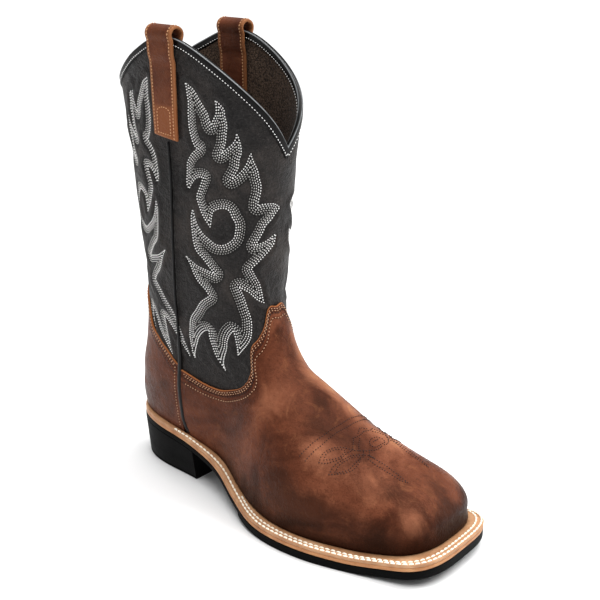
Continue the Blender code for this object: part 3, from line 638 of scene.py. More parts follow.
def add_node(material, kind, settings={}, values={}, links={}):
    """A node; each link is input: (other node, its output)."""
    node = material.node_tree.nodes.new(kind)
    for key, value in settings.items():
        setattr(node, key, value)
    for key, value in values.items():
        node.inputs[key].default_value = value
    for key, (source, output) in links.items():
        material.node_tree.links.new(source.outputs[output], node.inputs[key])
    return node


def ramp(material, factor, stops):
    """Colours at positions along a factor."""
    node = add_node(material, "ShaderNodeValToRGB", links={"Fac": factor})
    elements = node.color_ramp.elements
    elements[0].position, elements[1].position = stops[0][0], stops[-1][0]
    for position, colour in stops[1:-1]:
        elements.new(position)
    for element, (position, colour) in zip(elements, stops):
        element.color = linear(colour)
    return node, "Color"


def noise(material, where, scale, detail=4.0, roughness=0.55, distortion=0.0):
    values = {"Scale": scale, "Detail": detail, "Roughness": roughness, "Distortion": distortion}
    return add_node(material, "ShaderNodeTexNoise", values=values, links={"Vector": where}), "Fac"


def fade(material, source, start, end, low=0.0, high=1.0):
    """A smooth step from low to high between two values of the source."""
    values = {"From Min": start, "From Max": end, "To Min": low, "To Max": high}
    settings = {"interpolation_type": "SMOOTHSTEP"}
    return add_node(material, "ShaderNodeMapRange", settings, values, {"Value": source}), "Result"


def combine(material, operation, first, second):
    """Two numbers joined by a plain operation; the second may be a constant."""
    links, values = {0: first}, {}
    if isinstance(second, tuple):
        links[1] = second
    else:
        values[1] = second
    return add_node(material, "ShaderNodeMath", {"operation": operation}, values, links), "Value"


def tint(material, base, factor, colour, how="MIX"):
    """The base colour moved towards another colour by a factor."""
    settings = {"data_type": "RGBA", "blend_type": how}
    return add_node(material, "ShaderNodeMix", settings, {7: linear(colour)}, {0: factor, 6: base}), 2


def attribute(material, label):
    return add_node(material, "ShaderNodeAttribute", {"attribute_name": label}), "Fac"


def started(name, roughness, specular, coat=0.0, coat_roughness=0.2, sheen=0.0, gloss="#ffffff"):
    """A new material with its shader and its Object coordinates."""
    material = bpy.data.materials.new(name)
    material.use_nodes = True
    shader = material.node_tree.nodes["Principled BSDF"]
    shader.inputs["Roughness"].default_value = roughness
    shader.inputs["Specular IOR Level"].default_value = specular
    shader.inputs["Coat Weight"].default_value = coat
    shader.inputs["Coat Roughness"].default_value = coat_roughness
    shader.inputs["Sheen Weight"].default_value = sheen
    shader.inputs["Specular Tint"].default_value = linear(gloss)
    where = (add_node(material, "ShaderNodeTexCoord"), "Object")
    return material, shader, where


def join(material, shader, label, source):
    material.node_tree.links.new(source[0].outputs[source[1]], shader.inputs[label])


def grain(material, shader, where, cell_mm, depth_mm, wrinkle_mm, wrinkle_depth_mm):
    """Bump of rounded cells, and of longer wrinkles under them."""
    cells = add_node(material, "ShaderNodeTexVoronoi", values={"Scale": 1000 / cell_mm}, links={"Vector": where})
    wrinkles = noise(material, where, 1000 / wrinkle_mm, 5.0, 0.6, 0.8)
    coarse = add_node(
        material, "ShaderNodeBump", values={"Strength": 1.0, "Distance": wrinkle_depth_mm / 1000},
        links={"Height": wrinkles},
    )
    fine = add_node(
        material, "ShaderNodeBump", values={"Strength": 1.0, "Distance": depth_mm / 1000},
        links={"Height": (cells, "Distance"), "Normal": (coarse, "Normal")},
    )
    join(material, shader, "Normal", (fine, "Normal"))


# %% [markdown]
# The shaft is tumbled charcoal leather: nearly black, a little brown where it was handled, with a
# small grain and a low gloss, and painted shade inside the bands of thread. The foot is oiled
# leather: brown, its oil pushed aside wherever the leather was bent, which leaves pale and orange
# patches, with painted highlights along the instep and the toe, painted shade above the welt and a
# painted shadow line right at it. Along a cut edge the raw, orange middle of the hide shows; on the
# straps a painted highlight widens that pale edge.

# %% Leather finishes
def charcoal_leather():
    material, shader, where = started("charcoal tumbled leather", 0.5, 0.18)
    patches = noise(material, where, 26.0, 6.0, 0.6, 0.5)
    colour = ramp(material, patches, ((0.30, "#121010"), (0.48, "#201d1c"), (0.70, "#3b3532")))
    worn = noise(material, where, 420.0, 6.0, 0.8)
    colour = tint(material, colour, fade(material, worn, 0.50, 0.72, 0.0, 0.32), "#5c5755")
    hollow = noise(material, where, 700.0, 3.0, 0.7)
    colour = tint(material, colour, fade(material, hollow, 0.48, 0.66, 0.0, 0.6), "#090808")
    # Painted shade: the leather inside the bands of thread is darkened nearly to black.
    band = attribute(material, "in_band")
    shaded = combine(material, "MULTIPLY", fade(material, band, -1.2, 0.3), fade(material, band, 9.0, 6.5))
    colour = tint(material, colour, combine(material, "MULTIPLY", shaded, 0.85), "#080707")
    join(material, shader, "Base Color", colour)
    join(material, shader, "Roughness", fade(material, patches, 0.3, 0.7, 0.40, 0.58))
    grain(material, shader, where, 1.3, 0.45, 8.0, 2.6)
    return material


def oiled_leather(name, welted):
    material, shader, where = started(name, 0.46, 0.11, gloss="#e8a889")
    patches = noise(material, where, 17.0, 7.0, 0.62, 0.9)
    colour = ramp(material, patches, (
        (0.28, "#361c13"), (0.42, "#4d291c"), (0.54, "#633726"), (0.66, "#774632"), (0.82, "#8d583d"),
    ))
    pulled = noise(material, where, 58.0, 6.0, 0.72, 1.4)
    colour = tint(material, colour, fade(material, pulled, 0.52, 0.76, 0.0, 0.30), "#a06846")
    dark = noise(material, where, 150.0, 6.0, 0.75)
    colour = tint(material, colour, fade(material, dark, 0.48, 0.70, 0.0, 0.36), "#29140c")
    specks = noise(material, where, 900.0, 2.0, 0.6)
    colour = tint(material, colour, fade(material, specks, 0.54, 0.68, 0.0, 0.34), "#22110b")
    edge = attribute(material, "from_edge")
    if welted:
        # Placed tones: painted highlights along the instep ridge and over the toe, and dark places that are partly
        # painted shade and partly the leather's own patches.
        tone = combine(material, "ADD", attribute(material, "tone"), combine(material, "MULTIPLY", patches, 0.8))
        tone = combine(material, "ADD", tone, fade(material, pulled, 0.3, 0.7, -0.14, 0.14))
        colour = tint(material, colour, fade(material, tone, 0.45, 1.40, 0.0, 0.64), "#9c644a")
        colour = tint(material, colour, fade(material, tone, 1.15, 1.90, 0.0, 0.50), "#bd8a60")
        colour = tint(material, colour, fade(material, tone, 0.28, -0.50, 0.0, 0.75), "#2b160e")
        # Painted shade: darker the nearer the welt, less so at the counter.
        height = attribute(material, "above_welt")
        shade = attribute(material, "above_shade")
        uneven = combine(material, "ADD", shade, combine(material, "MULTIPLY", patches, 26.0))
        colour = tint(material, colour, fade(material, uneven, 46.0, 20.0, 0.0, 0.9), "#1e0e08")
        # Painted shadow: a near-black line right above the welt, under the upper's bulge.
        colour = tint(material, colour, fade(material, height, 3.2, 1.2, 0.0, 0.9), "#0a0504")
        seam = combine(material, "MULTIPLY", fade(material, edge, 1.1, 1.7), fade(material, edge, 6.8, 5.8))
        colour = tint(material, colour, combine(material, "MULTIPLY", seam, 0.6), "#2c140c")
        low = combine(material, "MULTIPLY", fade(material, edge, 8.4, 9.0), fade(material, edge, 10.8, 10.2))
        colour = tint(material, colour, combine(material, "MULTIPLY", low, 0.55), "#2c140c")
        colour = tint(material, colour, fade(material, edge, 0.75, 0.45, 0.0, 0.9), "#a5663c")
    else:
        # The pale cut edge, widened into a painted highlight along the strap's rounded edge.
        colour = tint(material, colour, fade(material, edge, 4.5, 0.3, 0.0, 0.75), "#9a6642")
        middle = combine(material, "ADD", edge, combine(material, "MULTIPLY", pulled, 6.0))
        colour = tint(material, colour, fade(material, middle, 8.0, 12.0, 0.0, 0.5), "#5c3626")
        tip = attribute(material, "from_tip")
        colour = tint(material, colour, fade(material, tip, 27.0, 23.0, 0.0, 0.6), "#8a5334")
    join(material, shader, "Base Color", colour)
    join(material, shader, "Roughness", fade(material, pulled, 0.35, 0.70, 0.36, 0.56))
    grain(material, shader, where, 0.9, 0.18, 7.0, 0.9)
    return material


CHARCOAL = charcoal_leather()
OILED = oiled_leather("oiled brown leather", True)
STRAP_BROWN = oiled_leather("oiled brown strap leather", False)
print("leathers:", CHARCOAL.name, "and", OILED.name)

# %% [markdown]
# The other finishes are plainer: black trim with a painted highlight along its fold, brown mesh lining,
# waxed tan sole leather, matte black rubber, and threads. Thread is a soft, slightly shiny strand, so a
# pale colour with a little sheen is enough at its size.

# %% Trim, lining, sole and thread finishes
def trim_leather():
    material, shader, where = started("black trim leather", 0.45, 0.08, 0.15, 0.12)
    tone = noise(material, where, 90.0, 4.0)
    colour = ramp(material, tone, ((0.35, "#040404"), (0.7, "#0b0909")))
    # Painted highlight: pale grey where the crown mask is set, on the binding's fold and the piping cord.
    painted_highlight = combine(material, "MULTIPLY", attribute(material, "crown"), fade(material, tone, 0.3, 0.5, 0.6, 1.0))
    join(material, shader, "Base Color", tint(material, colour, painted_highlight, "#a5a8aa"))
    grain(material, shader, where, 0.8, 0.05, 3.0, 0.12)
    return material


def mesh_lining():
    material, shader, where = started("brown mesh lining", 0.85, 0.1, sheen=0.1)
    cells = add_node(material, "ShaderNodeTexVoronoi", values={"Scale": 800.0}, links={"Vector": where})
    colour = ramp(material, (cells, "Distance"), ((0.0, "#85705f"), (0.4, "#5a493c"), (0.8, "#2b211b")))
    patches = noise(material, where, 30.0)
    colour = tint(material, colour, fade(material, patches, 0.4, 0.7, 0.0, 0.4), "#2a1f19")
    join(material, shader, "Base Color", colour)
    bump = add_node(
        material, "ShaderNodeBump", {"invert": True}, {"Strength": 1.0, "Distance": 0.0005},
        {"Height": (cells, "Distance")},
    )
    join(material, shader, "Normal", (bump, "Normal"))
    return material


def tan_leather(name, stops, roughness):
    material, shader, where = started(name, roughness, 0.3)
    patches = noise(material, where, 55.0, 6.0, 0.6, 0.4)
    colour = ramp(material, patches, stops)
    dirt = noise(material, where, 210.0, 5.0, 0.7)
    colour = tint(material, colour, fade(material, dirt, 0.55, 0.78, 0.0, 0.45), "#7a5238")
    join(material, shader, "Base Color", colour)
    grain(material, shader, where, 0.7, 0.06, 4.0, 0.15)
    return material


def black_rubber():
    material, shader, where = started("black moulded rubber", 0.6, 0.05)
    tone = noise(material, where, 120.0, 4.0)
    join(material, shader, "Base Color", ramp(material, tone, ((0.3, "#020202"), (0.75, "#070707"))))
    grain(material, shader, where, 0.6, 0.05, 6.0, 0.15)
    return material


def thread(name, colour):
    material, shader, where = started(name, 0.6, 0.2, sheen=0.1)
    shader.inputs["Base Color"].default_value = linear(colour)
    return material


TRIM, LINING, RUBBER = trim_leather(), mesh_lining(), black_rubber()
WELT_TAN = tan_leather("tan welt leather", ((0.3, "#9a6c4a"), (0.5, "#b68862"), (0.75, "#cda27d")), 0.5)
EDGE_TAN = tan_leather("tan sole edge leather", ((0.3, "#a0683f"), (0.5, "#b87f52"), (0.75, "#cd9a6a")), 0.42)
THREAD_SHADES = ("#fbfaf8", "#eceae8", "#d6d4d1", "#b8b6b3", "#959390")
SHAFT_THREADS = [thread("shaft thread %d" % row, colour) for row, colour in enumerate(THREAD_SHADES)]
BROWN_THREAD, TAN_THREAD = thread("brown thread", "#bd9272"), thread("tan thread", "#c9966a")
DARK_THREAD = thread("dark brown thread", "#2a130c")
WELT_THREAD = thread("welt thread", "#fff6e4")
print(len(bpy.data.materials), "finishes")

# %% [markdown]
# The rows of thread pull the leather down and leave it puffed beside them, since a soft lining is
# sewn in behind. On the flat pattern this needs the distance to the outline from anywhere, inside
# as plus and outside as minus, so a map of it is made once and read between its nearest points.

# %% Quilting
ROW_STEP_MM, ROWS = 1.6, 5
INNER_SHIFT_MM = 12.0
MAP_GIRTHS, MAP_HEIGHTS = np.arange(-6.0, 104.0), np.arange(96.0, 334.0)
BACK_SCALE = 0.885


def outline_distance(girth, height):
    """Distance from each place to the outline, made minus outside by counting crossings of a ray."""
    corners = flame_line[::3]
    ahead = np.roll(corners, -1, 0)
    away = np.hypot(girth[:, None] - corners[:, 0], height[:, None] - corners[:, 1]).min(1)
    spans = (corners[:, 1] > height[:, None]) != (ahead[:, 1] > height[:, None])
    rise = np.where(ahead[:, 1] == corners[:, 1], 1e-9, ahead[:, 1] - corners[:, 1])
    cut = corners[:, 0] + (height[:, None] - corners[:, 1]) / rise * (ahead[:, 0] - corners[:, 0])
    inside = (spans & (girth[:, None] < cut)).sum(1) % 2
    return np.where(inside > 0, away, -away)


girth_grid, height_grid = np.meshgrid(MAP_GIRTHS, MAP_HEIGHTS)
DISTANCE_MAP = outline_distance(girth_grid.ravel(), height_grid.ravel()).reshape(girth_grid.shape)


def map_distance(girth_mm, height_mm):
    """The map read between its four nearest points; far outside beyond its edges."""
    across = np.clip(girth_mm - MAP_GIRTHS[0], 0, len(MAP_GIRTHS) - 1.001)
    up = np.clip(height_mm - MAP_HEIGHTS[0], 0, len(MAP_HEIGHTS) - 1.001)
    i, j = up.astype(int), across.astype(int)
    a, b = up - i, across - j
    low = DISTANCE_MAP[i, j] * (1 - b) + DISTANCE_MAP[i, j + 1] * b
    high = DISTANCE_MAP[i + 1, j] * (1 - b) + DISTANCE_MAP[i + 1, j + 1] * b
    return low * (1 - a) + high * a


def puff(inside):
    """Lift in metres by distance inside: sunk by 0.7 mm at the outer rows, raised beyond and before them."""
    sunk = np.exp(-(((inside - 1.5) / 3.0) ** 2))
    raised = np.exp(-(((inside - 11.0) / 4.0) ** 2)) + np.exp(-(((inside + 4.0) / 2.8) ** 2))
    return (1.2 * raised - 0.7 * sunk) / 1000


def band_distance(points):
    """Distance in mm inside the flames at surface points, for either side and panel; -9 far outside."""
    result = np.full(points.shape[:-1], -9.0)
    for side in (-1, 1):
        here = (points[..., 1] * side >= 0) & (points[..., 2] > 0.100)
        front, back, height = pattern_place(points[here], side)
        from_shift = 1000 * front - INNER_SHIFT_MM * (side > 0)
        inside = np.where(front < 0.090, map_distance(from_shift, 1000 * height), -9)
        behind = map_distance(1000 * back / BACK_SCALE, 1000 * height)
        result[here] = np.where(back < 0.085, np.maximum(inside, behind), inside)
    return result


def quilting(points):
    return puff(band_distance(points))


print("band on", round(100 * float((DISTANCE_MAP > 0).mean())), "% of the pattern")

# %% [markdown]
# The upper itself. Its outer rows are close together on the shaft, where the quilting shows, and
# wider below, where the vamp and the counter cover it. The inner rows are the lining.

# %% Upper
TURNS = np.linspace(0, 2 * np.pi, 288, endpoint=False)
OUTER_LEVELS = np.concatenate((np.linspace(0, 0.42, 26, endpoint=False), np.linspace(0.42, 1, 178)))
INNER_LEVELS = np.concatenate((np.linspace(1, 0.42, 64, endpoint=False), np.linspace(0.42, 0, 20)))


def flat_ends(levels):
    """How level the normals are kept: fully at the collar and the sole, freely between."""
    return np.clip(1 - levels / 0.02, 0, 1) + np.clip((levels - 0.985) / 0.015, 0, 1)


def upper_wall():
    flat = flat_ends(OUTER_LEVELS)[:, None]
    bare = surface(TURNS[None, :], OUTER_LEVELS[:, None])
    outer = skin(bare, quilting(bare), flat)
    bare = surface(TURNS[None, :], INNER_LEVELS[:, None])
    inner = skin(bare, -WALL, flat_ends(INNER_LEVELS)[:, None])
    outer[0, :, 2], inner[-1, :, 2] = seat(outer[0, :, 0]), seat(inner[-1, :, 0])
    return np.concatenate((outer, inner))


def wear(made, *finishes, first_face_of_second=None):
    """Finishes for an object, the second one from a given face on."""
    for finish in finishes:
        made.data.materials.append(finish)
    if first_face_of_second is not None:
        index = np.zeros(len(made.data.polygons), np.int32)
        index[first_face_of_second:] = 1
        made.data.polygons.foreach_set("material_index", index)
    return made


points = upper_wall()
in_band = band_distance(points)
in_band[len(OUTER_LEVELS):] = -9
upper = grid_piece("upper_skin", points, wrap_rows=True, wrap_columns=True, in_band=in_band)
wear(upper, CHARCOAL, LINING, first_face_of_second=len(OUTER_LEVELS) * len(TURNS))
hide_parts("upper")

# %% [markdown]
# Thread is laid as single stitches: each one a short strand that rises out of one hole, lies on
# the leather and dips into the next. A row is a line on the surface cut at even steps. All the
# stitches of one thread are one mesh, made from a single strand set down at every place at once.

# %% Stitch helpers
def strand(corners, rings):
    """A unit strand as points (along, side, up) and triangles: rings of corners closed by two tips."""
    turn = np.arange(corners) * 2 * np.pi / corners + np.pi / 4
    points = [(-1.0, 0.0, 0.0)]
    for along, radius in rings:
        points += [(along, radius * math.cos(a), radius * math.sin(a)) for a in turn]
    points.append((1.0, 0.0, 0.0))
    faces, last = [], len(points) - 1
    for k in range(corners):
        beside = (k + 1) % corners
        faces += [(0, 1 + k, 1 + beside), (last, last - corners + beside, last - corners + k)]
        for ring in range(len(rings) - 1):
            a, b = 1 + ring * corners + k, 1 + ring * corners + beside
            faces += [(a, a + corners, b), (b, a + corners, b + corners)]
    return np.array(points), np.array(faces)


FINE_STRAND = strand(4, ((-0.45, 1.0), (0.45, 1.0)))
FULL_STRAND = strand(6, ((-0.85, 0.75), (-0.3, 1.0), (0.3, 1.0), (0.85, 0.75)))


def directions(line):
    """Unit steps along a line."""
    steps = np.gradient(line, axis=0)
    return steps / np.linalg.norm(steps, axis=1, keepdims=True)


def sew(name, finish, places, along, normals, length, width, rise, shape=FINE_STRAND, dip=0.4):
    """Strands at places: along, sideways and up by the strand's own shape, its tips dipped inwards."""
    unit, triangles = shape
    if len(places) == 0:
        return None
    side = np.cross(normals, along)
    side /= np.linalg.norm(side, axis=1, keepdims=True)
    length = np.broadcast_to(length, len(places))[:, None, None]
    reach, across, up = unit[:, 0][None, :, None], unit[:, 1][None, :, None], unit[:, 2][None, :, None]
    points = places[:, None] + reach * length / 2 * along[:, None] + across * width / 2 * side[:, None]
    points = points + (up * rise / 2 - dip * rise * reach**4 + 0.2 * rise) * normals[:, None]
    corners = (triangles[None] + (np.arange(len(places)) * len(unit))[:, None, None]).reshape(-1, 3)
    made = finish_mesh(name, points_mesh(name, points.reshape(-1, 3), corners), weld=False)
    wear(made, finish)
    print(name, len(places), "stitches")
    return made


# %% [markdown]
# Now the flames are sewn: five rows to each outline in front and four behind, on both halves of both
# panels, stitch beside stitch, so that the band looks woven. The outer row is the palest thread. A stitch is left out
# where the vamp, the counter or the binding would cover it.

# %% Flame stitches
STITCH_PITCH_MM = 2.1
area = np.cross(flame_line, np.roll(flame_line, -1, 0)).sum() / 2
step = np.roll(flame_line, -1, 0) - flame_line
heading = np.arctan2(step[:, 1], step[:, 0])
bend = (heading - np.roll(heading, 1) + np.pi) % (2 * np.pi) - np.pi
opening = -bend * np.sign(area)


def inner_row(row):
    """Stitch centres and directions of a row on the flat pattern, at even steps along the outline moved
    inwards. It sweeps round corners that open to the inside and leaves out what came too near."""
    away = row * ROW_STEP_MM
    repeats = np.where(opening > 0.15, 1 + np.ceil(opening / 0.12), 1).astype(int)
    index = np.repeat(np.arange(len(flame_line)), repeats)
    place = np.arange(len(index)) - np.repeat(np.cumsum(repeats) - repeats, repeats)
    share = np.where(repeats[index] > 1, place / np.maximum(repeats[index] - 1, 1), 0.5)
    turned = heading[index] - bend[index] * (1 - share) + np.sign(area) * np.pi / 2
    moved = flame_line[index] + away * np.stack((np.cos(turned), np.sin(turned)), -1)
    nearest = np.hypot(moved[:, :1] - flame_line[:, 0], moved[:, 1:] - flame_line[:, 1]).min(1)
    line = moved[(nearest >= away - 0.06) & (moved[:, 0] > 0.4)]
    gaps = np.linalg.norm(np.diff(line, axis=0), axis=1)
    broken = gaps > 1.0
    run = np.concatenate(((0,), np.cumsum(np.where(broken, STITCH_PITCH_MM, gaps))))
    at = np.arange(STITCH_PITCH_MM / 2, run[-1], STITCH_PITCH_MM)
    place = np.searchsorted(run, at, side="right") - 1
    at, place = at[~broken[place]], place[~broken[place]]
    centres = np.stack([np.interp(at, run, line[:, axis]) for axis in (0, 1)], -1)
    along = (line[place + 1] - line[place]) / gaps[place][:, None]
    return centres / 1000, (centres + 0.2 * along) / 1000


def cover_line(edge, low_degrees, high_degrees):
    """An overlay's upper edge on the pattern: girths from front and back and the edge's heights."""
    degrees = np.linspace(low_degrees, high_degrees, 90)
    points = surface(np.radians(degrees), read(edge, "angle", "level", degrees))
    points[:, 1] = np.abs(points[:, 1])
    return pattern_place(points, 1)


VAMP_COVER = cover_line(VAMP_EDGE, 0.5, 100)
COUNTER_COVER = cover_line(COUNTER_EDGE, 80, 179.5)


def sew_flames():
    total = 0
    for row in range(ROWS):
        gathered = []
        centres, ahead = inner_row(row)
        for side in (-1, 1):
            for from_back in (False, True) if row < 4 else (False,):
                scale = np.array((BACK_SCALE if from_back else 1.0, 1.0))
                shift = np.array((INNER_SHIFT_MM / 1000 if side > 0 and not from_back else 0.0, 0.0))
                here, there = centres * scale + shift, ahead * scale + shift
                girth_order = np.argsort((COUNTER_COVER[1] if from_back else VAMP_COVER[0]))
                cover = COUNTER_COVER if from_back else VAMP_COVER
                keys = cover[1] if from_back else cover[0]
                covered = np.interp(here[:, 0], keys[girth_order], cover[2][girth_order])
                points = on_shaft(here[:, 0], here[:, 1], side, from_back)
                turn = np.arctan2(points[:, 1], points[:, 0] - PATTERN_CENTRE_X)
                keep = (here[:, 1] > covered + 0.001) & (here[:, 1] < collar_height(turn) - 0.009)
                points = points[keep]
                tips = on_shaft(there[keep, 0], there[keep, 1], side, from_back)
                along = tips - points
                along /= np.linalg.norm(along, axis=1, keepdims=True)
                normals = outward(points)
                gathered.append((skin(points, quilting(points)), along, normals))
        places, along, normals = (np.concatenate(part) for part in zip(*gathered))
        sew("flame_row_%d" % row, SHAFT_THREADS[row], places, along, normals, 0.00138, 0.00110 - 0.00004 * row, 0.0010)
        total += len(places)
    return total


print("flames:", sew_flames(), "stitches")

# %% [markdown]
# The vamp and the counter are cut from thicker hide and sewn over the upper. Each is a sheet with
# rounded edges: an outer and an inner face that meet at the rim. The sheet runs from seam to seam
# and from the welt up to its own curved edge, so its side angles are found by halving, just as the
# surface is. The distances from its edges stay on the points, for the raw edge and the seams.

# %% Vamp and counter
EDGE_ROUNDING = 0.0005
FEATHER_BULGE = 0.0020
# Placed tones: plus is a painted highlight, minus a dark place that is partly painted shade and partly the leather's
# own patches.
# Columns: x, y, z, radius, strength
TONE_ROWS_MM = (
    (148, -9, 95, 9, -0.8), (183, -55, 40, 13, -0.6), (205, -49, 36, 15, -0.8), (226, -44, 32, 12, -0.8),
    (257, -1, 32, 17, -1.3), (238, 6, 54, 11, -0.6), (220, 22, 60, 8, -0.4), (144, -55, 51, 13, -0.6),
    (95, -41, 18, 14, -0.5), (104, -2, 136, 9, -0.7), (120, -33, 97, 15, 0.6), (165, -39, 73, 12, 0.7),
    (211, -37, 54, 21, 0.5), (246, -29, 40, 12, 0.9), (120, -50, 30, 16, -0.7), (150, -58, 36, 18, -0.9),
    (172, -58, 32, 16, -0.8), (178, -40, 66, 16, 0.4), (16, -38, 52, 13, -0.5), (101, 13, 134, 10, 0.9),
    (110, 13, 117, 11, 1.2), (127, 6, 106, 11, 1.1), (142, 12, 96, 11, 1.2), (160, 13, 86, 11, 1.1),
    (180, 14, 75, 11, 1.0), (199, 15, 69, 12, 0.9), (241, 28, 50, 11, 0.6), (73, -34, 49, 14, 0.3),
    (52, -33, 67, 9, 0.4), (4, -36, 72, 10, -0.8), (-14, -34, 96, 9, -0.5), (-34, -20, 70, 12, 0.4),
    (150, 40, 60, 14, -0.6), (190, 44, 40, 13, 0.5), (60, 36, 60, 13, 0.5), (30, 36, 90, 11, -0.6),
)
SHEET_LIFT = CURVED_CLEARANCE + OVERLAY_THICKNESS


def edge_steps(count, fine=(0.0, 0.0003, 0.0009, 0.002, 0.0045, 0.008)):
    """Shares from 0 to 1, close together near both ends."""
    fine = np.array(fine)
    return np.concatenate((fine, np.linspace(0.012, 0.988, count), 1 - fine[::-1]))


def seam_angle(shares, edge, side, gap):
    """Angle on one side at which rows at shares of the edge's level reach the seam, by halving."""
    def beyond(degrees):
        level = shares * read(edge, "angle", "level", degrees)
        points = surface(side * np.radians(degrees), level)
        return points[:, 0] < seam_x(points[:, 2]) + gap

    return crossing(beyond, 30.0, 172.0, shares.shape, 18)


def distance_run(points, axis):
    """Length run along a grid's rows or columns from its first one."""
    steps = np.linalg.norm(np.diff(points, axis=axis), axis=-1)
    return np.concatenate((np.zeros_like(np.take(steps, (0,), axis)), np.cumsum(steps, axis)), axis)


def tones(points):
    """Painted highlights (plus) and dark places (minus), partly painted shade and partly the leather's own patches: the
    sum of strength times e to the minus (distance / radius) squared.
    """
    total = np.zeros(points.shape[:-1])
    for x, y, z, radius, strength in TONE_ROWS_MM:
        away = np.linalg.norm(1000 * points - (x, y, z), axis=-1)
        total += strength * np.exp(-((away / radius) ** 2))
    return total


def sheet(name, edge, rows, columns, to_toe):
    """Closed sheet over the upper; returns the object, its bare grid and the distances from its edges."""
    shares = edge_steps(rows)
    gap = PIPING_WIDTH / 2 + CLEARANCE
    right = seam_angle(shares, edge, -1, gap if to_toe else -gap)
    left = seam_angle(shares, edge, 1, gap if to_toe else -gap)
    across = edge_steps(columns)[None, :]
    if to_toe:
        degrees = -right[:, None] + (right + left)[:, None] * across
    else:
        degrees = left[:, None] + (360 - right - left)[:, None] * across
    folded = np.abs((degrees + 180) % 360 - 180)
    levels = shares[:, None] * read(edge, "angle", "level", folded)
    bare = surface(np.radians(degrees), levels)
    bare[0, :, 2] = seat(bare[0, :, 0])
    up, over = distance_run(bare, 0), distance_run(bare, 1)
    from_top, from_side = up[-1:] - up, np.minimum(over, over[:, -1:] - over)
    near = np.minimum(np.minimum(from_top, from_side), up)
    swell = (1 - (1 - np.clip(near / EDGE_ROUNDING, 0, 1)) ** 3) ** (1 / 3)
    middle = CURVED_CLEARANCE + OVERLAY_THICKNESS / 2
    pressed = -0.0003 * np.exp(-(((from_top - 0.0031) / 0.0011) ** 2))
    pressed = pressed - 0.0002 * np.exp(-(((from_side - 0.002) / 0.001) ** 2))
    flat = flat_ends(levels)
    before = np.clip((bare[..., 0] - 0.06) / 0.05, 0, 1)
    pressed = pressed + before * FEATHER_BULGE * np.exp(-(((up - 0.006) / 0.0045) ** 2))
    outer = skin(bare, middle + OVERLAY_THICKNESS / 2 * swell + pressed * np.clip(near / EDGE_ROUNDING, 0, 1), flat)
    inner = skin(bare, middle - OVERLAY_THICKNESS / 2 * swell, flat)
    corners = grid_corners(*levels.shape, False, False)
    both = np.concatenate((outer.reshape(-1, 3), inner.reshape(-1, 3)))
    corners = np.concatenate((corners, corners + levels.size))
    numbers = {"from_edge": 1000 * np.tile(from_top.ravel(), 2), "above_welt": 1000 * np.tile(up.ravel(), 2)}
    # The height above the welt, raised at the back for the counter, sets the painted shade; the tones add painted
    # highlights and shade.
    back = 22 * np.clip((0.085 - bare[..., 0]) / 0.06, 0, 1)
    numbers["above_shade"] = np.tile((1000 * up + back).ravel(), 2)
    numbers["tone"] = np.tile(tones(bare).ravel(), 2)
    made = finish_mesh(name, points_mesh(name, both, corners, **numbers))
    wear(made, OILED)
    print(name, len(made.data.polygons), "faces")
    return made, bare, from_top, from_side, over


vamp, vamp_bare, vamp_from_top, vamp_from_side = sheet("vamp_sheet", VAMP_EDGE, 96, 190, True)[:4]
counter, counter_bare, counter_from_top, counter_from_side, counter_over = sheet(
    "counter_sheet", COUNTER_EDGE, 84, 120, False
)
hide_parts("vamp")
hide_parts("heel_counter")

# %% [markdown]
# Close rows of thread hold each overlay's upper edge, pale and dark, and a last one runs lower. The
# rows are lines at one distance from the edge, read off the same grids that made the sheets.

# %% Rows along the overlays
def line_at(grid, distance, target):
    """On each column of a grid, the point where a distance that falls along it passes a target."""
    row = np.clip((distance > target).sum(0) - 1, 0, len(grid) - 2)
    pick = np.arange(grid.shape[1])
    near, far = distance[row, pick], distance[row + 1, pick]
    share = np.clip((near - target) / (near - far), 0, 1)[:, None]
    return grid[row, pick] * (1 - share) + grid[row + 1, pick] * share


def sew_line(name, finish, line, pitch, length, width, rise, start=0.0):
    """Stitches at even steps along a bare line, set on the sheet over it."""
    line = even_steps(line, pitch, start)
    along, normals = directions(line), outward(line)
    return sew(name, finish, skin(line, SHEET_LIFT), along, normals, length, width, rise)


def edge_rows(name, grid, from_top, from_side, targets_mm, margin=0.0025):
    """Rows at distances from the top edge; the third one is sewn in dark thread, and rows take turns."""
    inside = from_side[-1] > margin
    for place, target in enumerate(targets_mm):
        line = line_at(grid, from_top, target / 1000)[inside]
        finish = DARK_THREAD if place == 2 else BROWN_THREAD
        row = "%s_row_%d" % (name, 10 * target)
        sew_line(row, finish, line, 0.0026, 0.0015, 0.0009, 0.0008, start=0.0013 * (place % 2))


edge_rows("vamp", vamp_bare, vamp_from_top, vamp_from_side, (2.1, 3.8, 5.6, 9.6))
edge_rows("counter", counter_bare, counter_from_top, counter_from_side, (2.1, 3.8, 8.0))
side_grid = np.swapaxes(counter_bare, 0, 1)
for word, grid, run in (("left", side_grid, counter_over.T), ("right", side_grid[::-1], counter_over.T[::-1])):
    total = np.abs(run[-1] - run[0])
    line = line_at(grid, total - np.abs(run - run[0]), total - 0.0032)[12:-10]
    sew_line("counter_side_" + word, BROWN_THREAD, line, 0.0026, 0.0014, 0.0009, 0.0008)

# %% [markdown]
# Over the toes runs the toe bug, an old ornament of western boots: two arcs across the foot and a
# small flower of leaves before them. Its lines are given in plan, as x and y, and their height is
# found on the foot. The inner half is the same, drawn in a little as the foot is narrower there.

